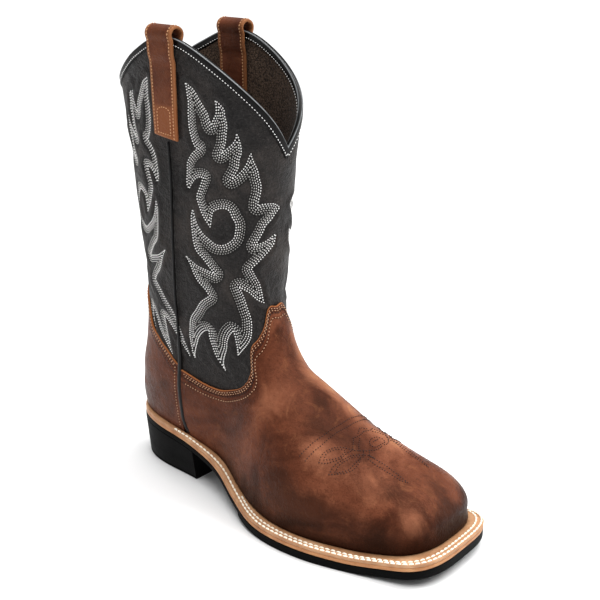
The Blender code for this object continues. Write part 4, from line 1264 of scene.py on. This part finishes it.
# %% Toe bug
BUG_MIDDLE_MM = 2
BUG_INNER_REACH = 0.78
BUG_LINES_MM = (
    ((157, -45), (159, -40), (161, -34), (163, -27), (164, -20), (165, -11), (165, 2)),
    ((162, -45), (164, -39), (166, -33), (167, -26), (168, -17), (169, -8), (169, 2)),
    ((171, -41), (170, -37), (172, -31), (175, -26), (180, -22), (184, -20), (190, -15), (195, -8)),
    ((171, -41), (175, -39), (179, -35), (182, -30), (183, -25), (184, -21)),
    ((173, -38), (172, -35), (174, -30), (177, -26), (181, -24), (181, -29), (178, -34), (173, -38)),
    ((181, -42), (181, -37), (183, -32), (186, -25), (191, -19), (196, -15), (200, -14)),
    ((181, -42), (186, -39), (191, -35), (194, -30), (194, -25), (192, -20)),
    ((184, -39), (184, -34), (186, -29), (189, -23), (192, -21), (192, -27), (191, -33), (185, -39)),
    ((195, -8), (196, -3), (195, 2)), ((187, -3), (186, 2)), ((189, -1), (189, 2)), ((194, -3), (194, 2)),
    ((187, -3), (190, -6), (193, -5), (194, -3)), ((177, -4), (175, 0), (174, 2)), ((178, -11), (179, -7), (178, 2)),
    ((178, -11), (181, -15), (184, -19)), ((181, -7), (184, -12), (188, -17)),
    ((190, -14), (192, -17), (194, -20)), ((193, -11), (195, -14), (198, -16)),
    ((196, -15), (202, -14), (209, -13), (217, -13), (223, -13), (228, -13)),
    ((197, -18), (203, -18), (211, -17), (218, -16), (224, -15), (228, -13)),
)


def smooth_line(points_mm, per_span=10):
    """A smooth line through points, each span a cubic with slopes shared with its neighbours."""
    points = np.array(points_mm, float)
    keys = np.concatenate(((0,), np.cumsum(np.linalg.norm(np.diff(points, axis=0), axis=1))))
    at = np.linspace(0, keys[-1], per_span * len(points))
    table = {"key": keys, **{axis: points[:, axis] for axis in range(points.shape[1])}}
    return np.stack([read(table, "key", axis, at) for axis in range(points.shape[1])], -1)


def on_foot(x, y):
    """Point of the foot's upper face over x and y, found by halving the height."""
    return np.stack((x, y, crossing(lambda z: field(x, y, z) > 0, 0.032, 0.130, x.shape)), -1)


bug_parts = []
for points_mm in BUG_LINES_MM:
    middle = smooth_line(points_mm) / 1000
    mirrored = BUG_MIDDLE_MM / 1000 + BUG_INNER_REACH * (BUG_MIDDLE_MM / 1000 - middle[:, 1])
    for plan_y in (middle[:, 1], mirrored):
        line = even_steps(on_foot(middle[:, 0], plan_y), 0.0021)
        bug_parts.append((skin(line, SHEET_LIFT), directions(line), outward(line)))
places, along, normals = (np.concatenate(part) for part in zip(*bug_parts))
sew("toe_bug", DARK_THREAD, places, along, normals, 0.0012, 0.0009, 0.0009)

# %% [markdown]
# A strip of thin black leather is folded over the collar's raw edge and sewn through. Its section
# is a long arch over the wall, carried round the rim; it leans where the rim runs steeply down to
# the front dip.

# %% Collar binding
BINDING_NEAR, BINDING_OUT = 0.0001, 0.0010
RIM_TURNS = np.linspace(0, 2 * np.pi, 360, endpoint=False)
rim = surface(RIM_TURNS, 1.0)
steps = np.roll(rim, -1, 0) - np.roll(rim, 1, 0)
rim_lean = np.sqrt(1 + (steps[:, 2] / np.hypot(steps[:, 0], steps[:, 1])) ** 2)


def arch_section(half_width, centre, top, low, count):
    """Up one side, over a rounded top and down the other, as (lift, offset)."""
    turn = np.linspace(0, np.pi, count)
    round_top = min(half_width, 0.002)
    offset = centre + half_width * np.sign(np.cos(turn)) * np.abs(np.cos(turn)) ** 0.7
    lift = top - round_top + round_top * np.sin(turn) ** 0.7
    sides = np.linspace(low, top - round_top, 6)[:-1]
    lifts = np.concatenate((sides, lift, sides[::-1]))
    offsets = np.concatenate((np.full(5, centre + half_width), offset, np.full(5, centre - half_width)))
    return np.stack((lifts, offsets), -1)


half = (WALL + 2 * BINDING_OUT) / 2
outside = arch_section(half, -WALL / 2, BINDING_OUT, -BINDING_DEPTH, 13)
inside = arch_section(WALL / 2 + BINDING_NEAR, -WALL / 2, BINDING_NEAR, -BINDING_DEPTH, 9)[::-1]
section = np.concatenate((outside, inside))
section[0] += (0.0003, -0.0003)
section[len(outside) - 1] += (0.0003, 0.0003)
rows = []
for lift, offset in section:
    points = surface(RIM_TURNS, 1.0, lift * rim_lean)
    rows.append(points + offset * outward(points, 1.0))
fold = np.arange(len(section)) * np.pi / 12 - 5 * np.pi / 12
# Painted highlight: two narrow pale lines along the outer part of the fold.
crown = np.exp(-(((fold - 0.9) / 0.20) ** 2)) + 0.9 * np.exp(-(((fold - 2.4) / 0.20) ** 2))
crown = 0.85 * np.where(np.arange(len(section)) < len(outside), crown, 0)[:, None]
binding = grid_piece("collar_binding_fold", np.stack(rows), wrap_rows=True, wrap_columns=True, crown=crown)
wear(binding, TRIM)
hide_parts("collar_binding")


def rim_line(lift, offset):
    points = surface(RIM_TURNS, 1.0, lift * rim_lean)
    return points + offset * outward(points, 1.0)


def sew_loop(name, finish, loop, outward_sign, pitch, length, width, rise):
    """Stitches round a closed loop, facing out of the shaft or into it."""
    line = even_steps(np.concatenate((loop, loop[:1])), pitch)
    normals = outward_sign * outward(line, 1.0)
    return sew(name, finish, line, directions(line), normals, length, width, rise)


sew_loop("collar_thread_outer", SHAFT_THREADS[0], rim_line(-0.0038, BINDING_OUT), 1, 0.0025, 0.0016, 0.0007, 0.0006)
sew_loop(
    "collar_thread_inner", SHAFT_THREADS[0], rim_line(-0.0038, -WALL - BINDING_OUT), -1, 0.0025, 0.0016, 0.0007, 0.0006
)

# %% [markdown]
# The side seams are covered by a cord of trim leather. It rises out of the welt, thick where the
# overlays meet it and thin on the shaft, and ends under the tip of the pull strap.

# %% Side pipings
PIPING_HEIGHTS = np.linspace(0, 1, 160)
piping_foot = seat(seam_x(seat(0.0))) + WELT_THICKNESS + 2 * CLEARANCE
piping_head = SHAFT_HEIGHT - STRAP_LENGTH - 2 * CLEARANCE
cord_turn = np.linspace(0, 2 * np.pi, 14, endpoint=False)
cord_across = 0.5 * np.cos(cord_turn)
cord_rise = 0.5 + 0.5 * np.abs(np.sin(cord_turn)) ** 0.8 * np.sign(np.sin(cord_turn))
for side, word in ((-1, "right"), (1, "left")):
    z = piping_foot + (piping_head - piping_foot) * PIPING_HEIGHTS[:, None]
    ends = np.sqrt(np.clip(np.minimum(PIPING_HEIGHTS, 1 - PIPING_HEIGHTS) / 0.006, 0.0, 1))[:, None]
    flare = 0.0045 * np.clip(1 - (z - piping_foot) / 0.016, 0, 1) ** 2
    width = PIPING_WIDTH * (0.75 + 0.8 * np.clip((0.135 - z) / 0.03, 0, 1))
    x = seam_x(z) + flare + width * cord_across * ends
    z = z + 0 * x
    lift = CURVED_CLEARANCE + PIPING_RISE * (0.5 + (cord_rise - 0.5) * ends)
    bare = np.stack((x, side_point(x, z, side), z), -1)
    level = np.stack((np.zeros_like(x), np.full_like(x, side), np.zeros_like(x)), -1)
    points = bare + (lift + relief(bare))[..., None] * level
    # A faint painted highlight along the top of the cord.
    crown = 0.06 * np.exp(-(((cord_turn - 2.1) / 0.35) ** 2))[None, :]
    cord = grid_piece("piping_cord_" + word, points, wrap_columns=True, crown=crown)
    wear(cord, TRIM)
    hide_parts("side_piping_" + word)

# %% [markdown]
# Each pull strap is a doubled band of oiled leather. It starts low on the outside, steps up over
# the binding, arches over the rim and runs down the inside by the same length. The path below is
# the line of its inner face as distance from the wall's middle and height, and the section is a
# flat band with rounded edges.

# %% Pull straps
def strap_path():
    low = WALL / 2 + CURVED_CLEARANCE
    clear = low + BINDING_THICKNESS + CURVED_CLEARANCE
    top, tip = SHAFT_HEIGHT, SHAFT_HEIGHT - STRAP_LENGTH
    under_strap = rim[np.abs(rim[:, 0] - STRAP_X) < 0.7 * STRAP_WIDTH]
    step_top = under_strap[:, 2].min() - 1.4 * BINDING_DEPTH
    step_low = step_top - BINDING_DEPTH
    centre = top + STRAP_LOOP_RISE
    outer_side = [(low, tip), (low, tip + 0.0004), (low, (tip + step_low) / 2), (low, step_low)]
    outer_side += [(clear, step_top), (clear, (step_top + top) / 2), (clear, top)]
    turn = np.radians(np.linspace(0, 180, 19))
    arch = [(STRAP_LOOP_RADIUS * math.cos(a), centre + STRAP_LOOP_RADIUS * math.sin(a)) for a in turn]
    inner_side = [(-distance, z) for distance, z in outer_side[::-1]]
    return np.array(outer_side + arch + inner_side)


strap_line = even_steps(strap_path(), 0.0011)
smooth = np.ones(5) / 5
padded = np.pad(strap_line, ((2, 2), (0, 0)), mode="edge")
strap_line[2:-2] = np.stack([np.convolve(padded[:, k], smooth, "valid") for k in (0, 1)], -1)[2:-2]
strap_step = directions(strap_line)
strap_out = np.stack((strap_step[:, 1], -strap_step[:, 0]), -1)
strap_run = distance_run(strap_line, 0)
band_turn = np.linspace(0, 2 * np.pi, 40, endpoint=False)
band_across = 0.5 * np.sign(np.cos(band_turn)) * np.abs(np.cos(band_turn)) ** 0.35
band_up = 0.5 + 0.5 * np.sign(np.sin(band_turn)) * np.abs(np.sin(band_turn)) ** 0.35


def strap_points(side, run, across, up):
    """Points of a strap at a length from its outer tip and at shares of its width and thickness. The
    band leans a little to the toe as it goes down, is narrower at its tip, and its tip is cut askew."""
    run, across, up = np.broadcast_arrays(np.asarray(run, float), np.asarray(across, float), np.asarray(up, float))
    low = np.clip(1 - run / STRAP_LENGTH, 0, 1)
    run = run + 0.0028 * (0.5 - across) * np.clip(1 - run / 0.02, 0, 1)
    middle = [np.interp(run, strap_run, strap_line[:, k]) for k in (0, 1)]
    out = [np.interp(run, strap_run, strap_out[:, k]) for k in (0, 1)]
    distance, z = (middle[k] + STRAP_THICKNESS * up * out[k] for k in (0, 1))
    x = STRAP_X + 0.0018 * low + STRAP_WIDTH * across * (1 - 0.08 * low)
    return np.stack((x, side_point(x, z, side) + side * (distance - WALL / 2), z), -1)


def strap_stitches(side, run, across):
    """Centres, directions and normals of stitches along a line on a strap's face."""
    line = even_steps(strap_points(side, run, across, 0.97), 0.0024)
    here = np.linspace(0, 1, len(line)) * (len(run) - 1)
    run, across = (np.interp(here, np.arange(len(run)), part) for part in (run, across))
    ahead, beside = strap_points(side, run + 0.0005, across, 1.0), strap_points(side, run, across + 0.02, 1.0)
    face = strap_points(side, run, across, 1.0)
    normals = np.cross(ahead - face, beside - face)
    inner = strap_points(side, run, across, 0.5)
    normals *= np.sign(((face - inner) * normals).sum(1))[:, None]
    return line, directions(line), normals / np.linalg.norm(normals, axis=1, keepdims=True)


stations = np.concatenate(((0, 0.0001, 0.0003, 0.0007), np.linspace(0.0012, strap_run[-1] - 0.0012, 170)))
stations = np.concatenate((stations, strap_run[-1] - stations[3::-1]))
ends = np.sqrt(np.clip(np.minimum(stations, strap_run[-1] - stations) / 0.0009, 0, 1))[:, None]
patch_turn = np.linspace(0, math.pi, 24)
STRAP_LINES = [(np.linspace(0.002, strap_run[-1] - 0.002, 200), np.full(200, across)) for across in (-0.40, 0.40)]
STRAP_LINES += [
    (
        np.concatenate((
            np.linspace(0.0035, 0.020, 12), 0.020 + 0.004 * np.sin(patch_turn), np.linspace(0.020, 0.0035, 12),
        )),
        np.concatenate((np.full(12, -0.27), -0.27 * np.cos(patch_turn), np.full(12, 0.27))),
    ),
    (np.full(12, 0.0035), np.linspace(-0.25, 0.25, 12)),
]
for side, word in ((-1, "right"), (1, "left")):
    up = 0.5 + (band_up - 0.5)[None, :] * ends * (0.96 - 0.10 * np.exp(-(((np.abs(band_across) - 0.40) / 0.05) ** 2)))
    across = band_across[None, :] * (0.97 + 0.03 * ends)
    points = strap_points(side, stations[:, None], across, up)
    from_side = 1000 * STRAP_WIDTH * (0.5 - np.abs(across)) + 0 * up
    from_edge = np.minimum(from_side, 1000 * np.minimum(stations, strap_run[-1] - stations)[:, None])
    from_tip = 1000 * stations[:, None]
    strap = grid_piece("strap_band_" + word, points, wrap_columns=True, from_edge=from_edge, from_tip=from_tip)
    wear(strap, STRAP_BROWN)
    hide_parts("pull_strap_" + word)
    parts = [strap_stitches(side, run, across) for run, across in STRAP_LINES]
    places, along, normals = (np.concatenate(part) for part in zip(*parts))
    sew("strap_thread_" + word, TAN_THREAD, places, along, normals, 0.0018, 0.0008, 0.0007)

# %% [markdown]
# The sole has one outline, seen from below: a superellipse at the toe, a round at the heel and
# measured half widths between. The welt is the strip of tan leather between that outline and the
# upper. Two rows of heavy thread lie in it, the strip is gathered into small ribs in the waist,
# and round the heel it is a plain rounded bead.

# %% Outline of the sole
def outline_field(x, y):
    outer, inner = (read(OUTLINE, "x", name, x / SOLE_REACH) for name in ("outer", "inner"))
    side = np.abs(y) / (SOLE_WIDTH * np.where(y < 0, outer, inner))
    toe = np.maximum(x - (SOLE_REACH - SOLE_TOE_ROUND), 0) / SOLE_TOE_ROUND
    heel = np.maximum(SOLE_HEEL_START - x, 0) / SOLE_HEEL_ROUND
    square = (side**SOLE_TOE_POWER + toe**SOLE_TOE_POWER + 1e-12) ** (1 / SOLE_TOE_POWER)
    return np.where(x < SOLE_REACH / 2, np.hypot(side, heel), square) - 1


def outline_y(x, side):
    """Signed y of the sole's edge at x."""
    half = SOLE_WIDTH * read(OUTLINE, "x", "outer" if side < 0 else "inner", x / SOLE_REACH)
    toe = np.clip((x - (SOLE_REACH - SOLE_TOE_ROUND)) / SOLE_TOE_ROUND, 0, 1)
    heel = np.clip((SOLE_HEEL_START - x) / SOLE_HEEL_ROUND, 0, 1)
    return side * half * (1 - toe**SOLE_TOE_POWER) ** (1 / SOLE_TOE_POWER) * np.sqrt(1 - heel**2)


def rays(turns):
    """The outline's edge on rays from the middle of the foot's lower edge."""
    centre, reach, breadth = loop_frame(0.0)
    r = crossing(
        lambda r: outline_field(centre + r * reach * np.cos(turns), r * breadth * np.sin(turns)) > 0,
        0.3, 1.8, turns.shape,
    )
    return np.stack((centre + r * reach * np.cos(turns), r * breadth * np.sin(turns)), -1)


def even_turns(count):
    """Turns whose edge points are evenly spaced along the outline."""
    turns = np.linspace(0, 2 * np.pi, 2001)
    edge = rays(turns)
    run = np.concatenate(((0,), np.cumsum(np.linalg.norm(np.diff(edge, axis=0), axis=1))))
    return np.interp(np.linspace(0, run[-1], count, endpoint=False), run, turns), run[-1]


SOLE_TURNS, sole_girth = even_turns(1300)
SOLE_EDGE = rays(SOLE_TURNS)
sole_inner = surface(SOLE_TURNS, 0.0)
sole_inner = sole_inner + 0.0021 * outward(sole_inner, 1.0)
SOLE_INNER = sole_inner[:, :2]
print("sole girth", round(1000 * sole_girth), "mm")

# %% Welt
WELT_COUNT = len(SOLE_TURNS)
welt_width = np.linalg.norm(SOLE_EDGE - SOLE_INNER, axis=1)
across_unit = (SOLE_EDGE - SOLE_INNER) / welt_width[:, None]
sole_run = np.arange(WELT_COUNT) / WELT_COUNT * sole_girth
waist = np.clip(1 - np.abs(SOLE_EDGE[:, 0] - 0.075) / 0.055, 0, 1) ** 0.5
ribbed = np.clip(1 - np.abs(SOLE_EDGE[:, 0] - 0.098) / 0.042, 0, 1) ** 0.5
heel_bead = np.clip((0.040 - SOLE_EDGE[:, 0]) / 0.014, 0, 1)


def welt_height(from_edge):
    """Top of the welt by distance in from its edge: a rounded lip, a groove, ribs, and a rise to the upper."""
    lip = -0.0007 * np.clip(1 - from_edge / 0.0009, 0, 1) ** 2
    groove = -0.00035 * np.exp(-(((from_edge - 0.0031) / 0.0005) ** 2)) * (1 - heel_bead)
    ribs = 0.0008 * np.sin(2 * np.pi * sole_run / 0.0031) * ribbed
    ribs = ribs * np.exp(-(((welt_width - 0.0022 - from_edge) / 0.0016) ** 2))
    share = np.clip(from_edge / welt_width, 0, 1)
    bead = 0.0009 * np.sin(np.pi * np.clip(share, 0, 1)) * heel_bead
    return WELT_THICKNESS + lip + groove + ribs + bead


def welt_row(from_edge, height):
    plan = SOLE_EDGE - from_edge[:, None] * across_unit
    return np.column_stack((plan, seat(plan[:, 0]) + height))


full = np.ones(WELT_COUNT)
rows = [welt_row(welt_width, 0 * full), welt_row(0.0005 * full, 0 * full), welt_row(0.0001 * full, 0.0003 * full)]
rows += [welt_row(0 * full, 0.0008 * full), welt_row(0 * full, (WELT_THICKNESS - 0.0009) * full)]
WELT_LINES = (
    0.0, 0.00025, 0.0006, 0.0010, 0.0016, 0.0022, 0.0026, 0.0031, 0.0036, 0.0041, 0.0048, 0.0055, 0.0063, 0.0075, 0.009,
)
for distance in WELT_LINES:
    from_edge = np.minimum(distance * full, welt_width * min(1.0, 0.06 + distance / 0.0095))
    rows.append(welt_row(from_edge, welt_height(from_edge)))
rows.append(welt_row(welt_width, welt_height(welt_width)))
welt = grid_piece("welt_strip", np.stack(rows), wrap_rows=True, wrap_columns=True)
wear(welt, WELT_TAN)
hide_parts("welt")


def welt_line(from_edge, start_x):
    """The part of a row on the welt that lies before start_x, in one run round the toe."""
    points = welt_row(from_edge, WELT_THICKNESS * full)
    points = np.roll(points, WELT_COUNT // 2, axis=0)
    return points[points[:, 0] > start_x]


from_outer = np.where(SOLE_EDGE[:, 0] < 0.13, 0.0018 + 0.0018 * waist, 0.0018)
from_outer = np.minimum(from_outer, 0.62 * welt_width)
for name, from_edge, start_x in (("outer", from_outer, 0.016), ("inner", 0.0059 * full, 0.104)):
    line = even_steps(welt_line(from_edge, start_x), 0.0044)
    normals = np.zeros_like(line)
    normals[:, 2] = 1.0
    sew("welt_thread_" + name, WELT_THREAD, line, directions(line), normals, 0.0039, 0.0016, 0.0014, FULL_STRAND)

# %% [markdown]
# The midsole is a thin layer of tan leather, its edge trimmed and waxed. It is a slab: rows that
# run out from the middle on top, round the edge and back to the middle below.

# %% Midsole
def slab(name, turns, rows, finish):
    """Closed slab; each row is (share of the way out, metres past the edge, height above board)."""
    edge = rays(turns)
    centre = np.array((loop_frame(0.0)[0], 0.0))
    away = (edge - centre) / np.linalg.norm(edge - centre, axis=1, keepdims=True)
    grid = []
    for share, past, height in rows:
        plan = centre + share * (edge - centre) + past * away
        grid.append(np.column_stack((plan, board(plan[:, 0]) + height)))
    return wear(grid_piece(name, np.stack(grid), wrap_columns=True), finish)


shares = np.linspace(0, 0.985, 14)
lifted = MIDSOLE_THICKNESS + SOLE_CLEARANCE - 0.00008
top = [(share, 0.0, lifted) for share in shares]
side_rows = [(1, -0.0003, lifted), (1, -0.0001, lifted - 0.0002), (1, 0.0, MIDSOLE_THICKNESS / 2)]
side_rows += [(1, -0.0001, 0.0003), (1, -0.0004, 0.0)]
bottom = [(share, 0.0, 0.0) for share in shares[::-1]]
midsole = slab("midsole_slab", SOLE_TURNS[::4], top + side_rows + bottom, EDGE_TAN)
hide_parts("midsole")

# %% [markdown]
# Outsole and heel are moulded rubber. They are rows of cross sections from heel to toe, with their
# lower edges rounded, and extra sections at each cross groove of the tread.

# %% Outsole and heel
GROOVE_WIDTH, GROOVE_DEPTH, GROOVE_PITCH = 0.0026, 0.0015, 0.0115
FIRST_GROOVE_X, LAST_GROOVE_X = 0.124, 0.252
FIRST_HEEL_GROOVE_X, LAST_HEEL_GROOVE_X = -0.0186, 0.0300


def grooved(x, first, last):
    """Depth of the cross grooves at x, with sloping sides."""
    centres = np.arange(first, last, GROOVE_PITCH)
    away = np.abs(np.asarray(x)[:, None] - centres).min(1)
    return GROOVE_DEPTH * np.clip((GROOVE_WIDTH * 0.575 - away) / (GROOVE_WIDTH * 0.15), 0, 1)


def with_grooves(x, first, last):
    centres = np.arange(first, last, GROOVE_PITCH)
    corners = GROOVE_WIDTH / 2 * np.array((-1.15, -0.85, 0.85, 1.15))
    return np.unique(np.concatenate((x, (centres[:, None] + corners).ravel())))


def heel_stations(count, steepest):
    turn = np.radians(np.linspace(steepest, 0, count))
    return SOLE_HEEL_START - SOLE_HEEL_ROUND * np.sin(turn)


def toe_stations(count, steepest):
    turn = np.radians(np.linspace(0, steepest, count))
    return SOLE_REACH - SOLE_TOE_ROUND + SOLE_TOE_ROUND * np.sin(turn) ** (2 / SOLE_TOE_POWER)


def block(name, x, top_z, bottom_z, groove, taper, bottom_x, finish, line_height=None):
    """Closed skin over cross sections: across the top, down one rounded side, across below and up. The
    grooves end 3 mm in from the sides."""
    top_z, bottom_z, bottom_x, groove = (part[:, None] for part in (top_z, bottom_z, bottom_x, groove))
    left, right = outline_y(x, 1)[:, None], outline_y(x, -1)[:, None]
    x = x[:, None]
    tall = top_z - bottom_z
    heights = [0.0 * tall, 0.0003 + 0 * tall, 0.0008 + 0 * tall, 0.3 * tall, 0.6 * tall]
    insets = [0.0004, 0.0001, 0.0, 0.0, 0.0]
    if line_height is not None:
        for lift, inset in ((0.00045, 0.0), (0.00015, 0.0003), (-0.00015, 0.0003), (-0.00045, 0.0)):
            heights.append(tall - line_height - lift)
            insets.append(inset)
    for lift, inset in ((0.0009, 0.0), (0.0003, 0.0002), (0.0, 0.0007), (0.0, 0.0024), (groove, 0.0030)):
        heights.append(tall - lift)
        insets.append(inset)
    height, inset = np.concatenate(heights, 1), np.array(insets)
    share = height / tall
    width = 1 + (taper - 1) * share
    span = left - right
    keep = np.clip(1 - 2 * inset / np.maximum(span, 0.002), 0, 1)
    middle = (left + right) / 2
    side_x = x + (bottom_x - x) * share
    z = top_z - height
    left_side = np.stack((side_x, (middle + (left - middle) * keep) * width, z), -1)
    right_side = np.stack((side_x, (middle + (right - middle) * keep) * width, z), -1)[:, ::-1]
    grid = np.concatenate((left_side, right_side), 1)
    corners = grid_corners(*grid.shape[:2], False, True)
    count, around = grid.shape[:2]
    points = grid.reshape(-1, 3)
    ends = np.stack((grid[0].mean(0), grid[-1].mean(0)))
    ring = np.arange(around)
    beside = (ring + 1) % around
    first = np.stack((ring, beside, np.full(around, len(points)), np.full(around, len(points))), -1)
    last_row = (count - 1) * around
    pole = np.full(around, len(points) + 1)
    last = np.stack((last_row + ring, last_row + beside, pole, pole), -1)
    triangles = np.concatenate((first[:, :3], last[:, :3]))
    quads = np.concatenate((corners[:, (0, 1, 2)], corners[:, (0, 2, 3)], triangles))
    made = finish_mesh(name, points_mesh(name, np.concatenate((points, ends)), quads))
    made.data.set_sharp_from_angle(angle=math.radians(38))
    print(name, len(made.data.polygons), "faces")
    return wear(made, finish)


waist_x = np.linspace(SOLE_HEEL_START, SOLE_REACH - SOLE_TOE_ROUND, 90)
arch_step = ARCH_STEP_X + GROOVE_DEPTH / 4 * np.array((-1, 1))
x = np.concatenate((heel_stations(30, 88.0), waist_x[1:-1], arch_step, toe_stations(30, 88.5)))
x = with_grooves(x, FIRST_GROOVE_X, LAST_GROOVE_X)
top = board(x) - 0.00008
thick = np.where(x < ARCH_STEP_X, WAIST_THICKNESS, OUTSOLE_THICKNESS)
tread = grooved(x, FIRST_GROOVE_X, LAST_GROOVE_X)
outsole = block("outsole_rubber", x, top, board(x) - SOLE_CLEARANCE - thick, tread, 1.0, x, RUBBER)
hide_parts("outsole")

x = np.concatenate((heel_stations(36, 88.0), np.linspace(SOLE_HEEL_START, HEEL_BREAST_X, 20)[1:]))
x = with_grooves(x, FIRST_HEEL_GROOVE_X, LAST_HEEL_GROOVE_X)
top = board(x) - SOLE_CLEARANCE - WAIST_THICKNESS - 0.00008
shift = HEEL_BREAST_X + (x - HEEL_BREAST_X) * HEEL_BACK_TAPER
tread = grooved(x, FIRST_HEEL_GROOVE_X, LAST_HEEL_GROOVE_X)
heel = block("heel_rubber", x, top, 0 * x, tread, HEEL_TAPER, shift, RUBBER, 0.0022)
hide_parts("heel")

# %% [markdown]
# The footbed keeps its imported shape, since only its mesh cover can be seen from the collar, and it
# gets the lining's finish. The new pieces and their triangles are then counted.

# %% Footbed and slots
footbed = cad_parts["insole"]
for place in footbed.material_slots:
    place.material = LINING
triangles = {made.name: sum(len(face.vertices) - 2 for face in made.data.polygons) for made in PIECES}
print(len(PIECES), "pieces,", sum(triangles.values()), "triangles, most in", max(triangles, key=triangles.get))

# %% [markdown]
# A product photo has almost no shadow: a white sweep under a wide, soft light, with a second one
# from the side to bring out the grain. The floor is pale and matte, and the surroundings are white
# enough to lift the shadows in the black leather.

# %% Floor and lights
floor_mesh = bpy.data.meshes.new("floor")
floor_mesh.from_pydata([(-20, -20, 0), (20, -20, 0), (20, 20, 0), (-20, 20, 0)], [], [(0, 1, 2, 3)])
floor = bpy.data.objects.new("floor", floor_mesh)
bpy.context.scene.collection.objects.link(floor)
floor_finish = bpy.data.materials.new("pale floor")
floor_finish.use_nodes = True
floor_finish.node_tree.nodes["Principled BSDF"].inputs["Base Color"].default_value = linear("#f4f4f4")
floor_finish.node_tree.nodes["Principled BSDF"].inputs["Roughness"].default_value = 0.9
floor_mesh.materials.append(floor_finish)

surroundings = bpy.data.worlds.new("studio")
surroundings.use_nodes = True
surroundings.node_tree.nodes["Background"].inputs["Color"].default_value = linear("#ffffff")
surroundings.node_tree.nodes["Background"].inputs["Strength"].default_value = 0.36
bpy.context.scene.world = surroundings
bpy.context.scene.view_settings.view_transform = "Standard"


def aimed(name, light, place, aim):
    made = bpy.data.objects.new(name, light)
    made.location = place
    made.rotation_euler = (Vector(aim) - Vector(place)).to_track_quat("-Z", "Y").to_euler()
    bpy.context.scene.collection.objects.link(made)


sweep = bpy.data.lights.new("overhead sweep", "SUN")
sweep.energy, sweep.angle = 3.1, math.radians(60)
aimed("overhead sweep", sweep, (0.5, -0.1, 2.0), (0, 0, 0))
for name, place, width, height, power in (
    ("tall box at the left", (-0.9, -1.2, 0.8), 0.5, 1.2, 1.5),
    ("box behind at the right", (1.0, 1.1, 0.9), 0.6, 0.8, 8),
    ("strip above", (0.0, 0.3, 1.5), 1.4, 0.07, 12),
):
    light = bpy.data.lights.new(name, "AREA")
    light.shape, light.size, light.size_y, light.energy = "RECTANGLE", width, height, power
    aimed(name, light, place, (0.08, 0.0, 0.15))
print("lights set")
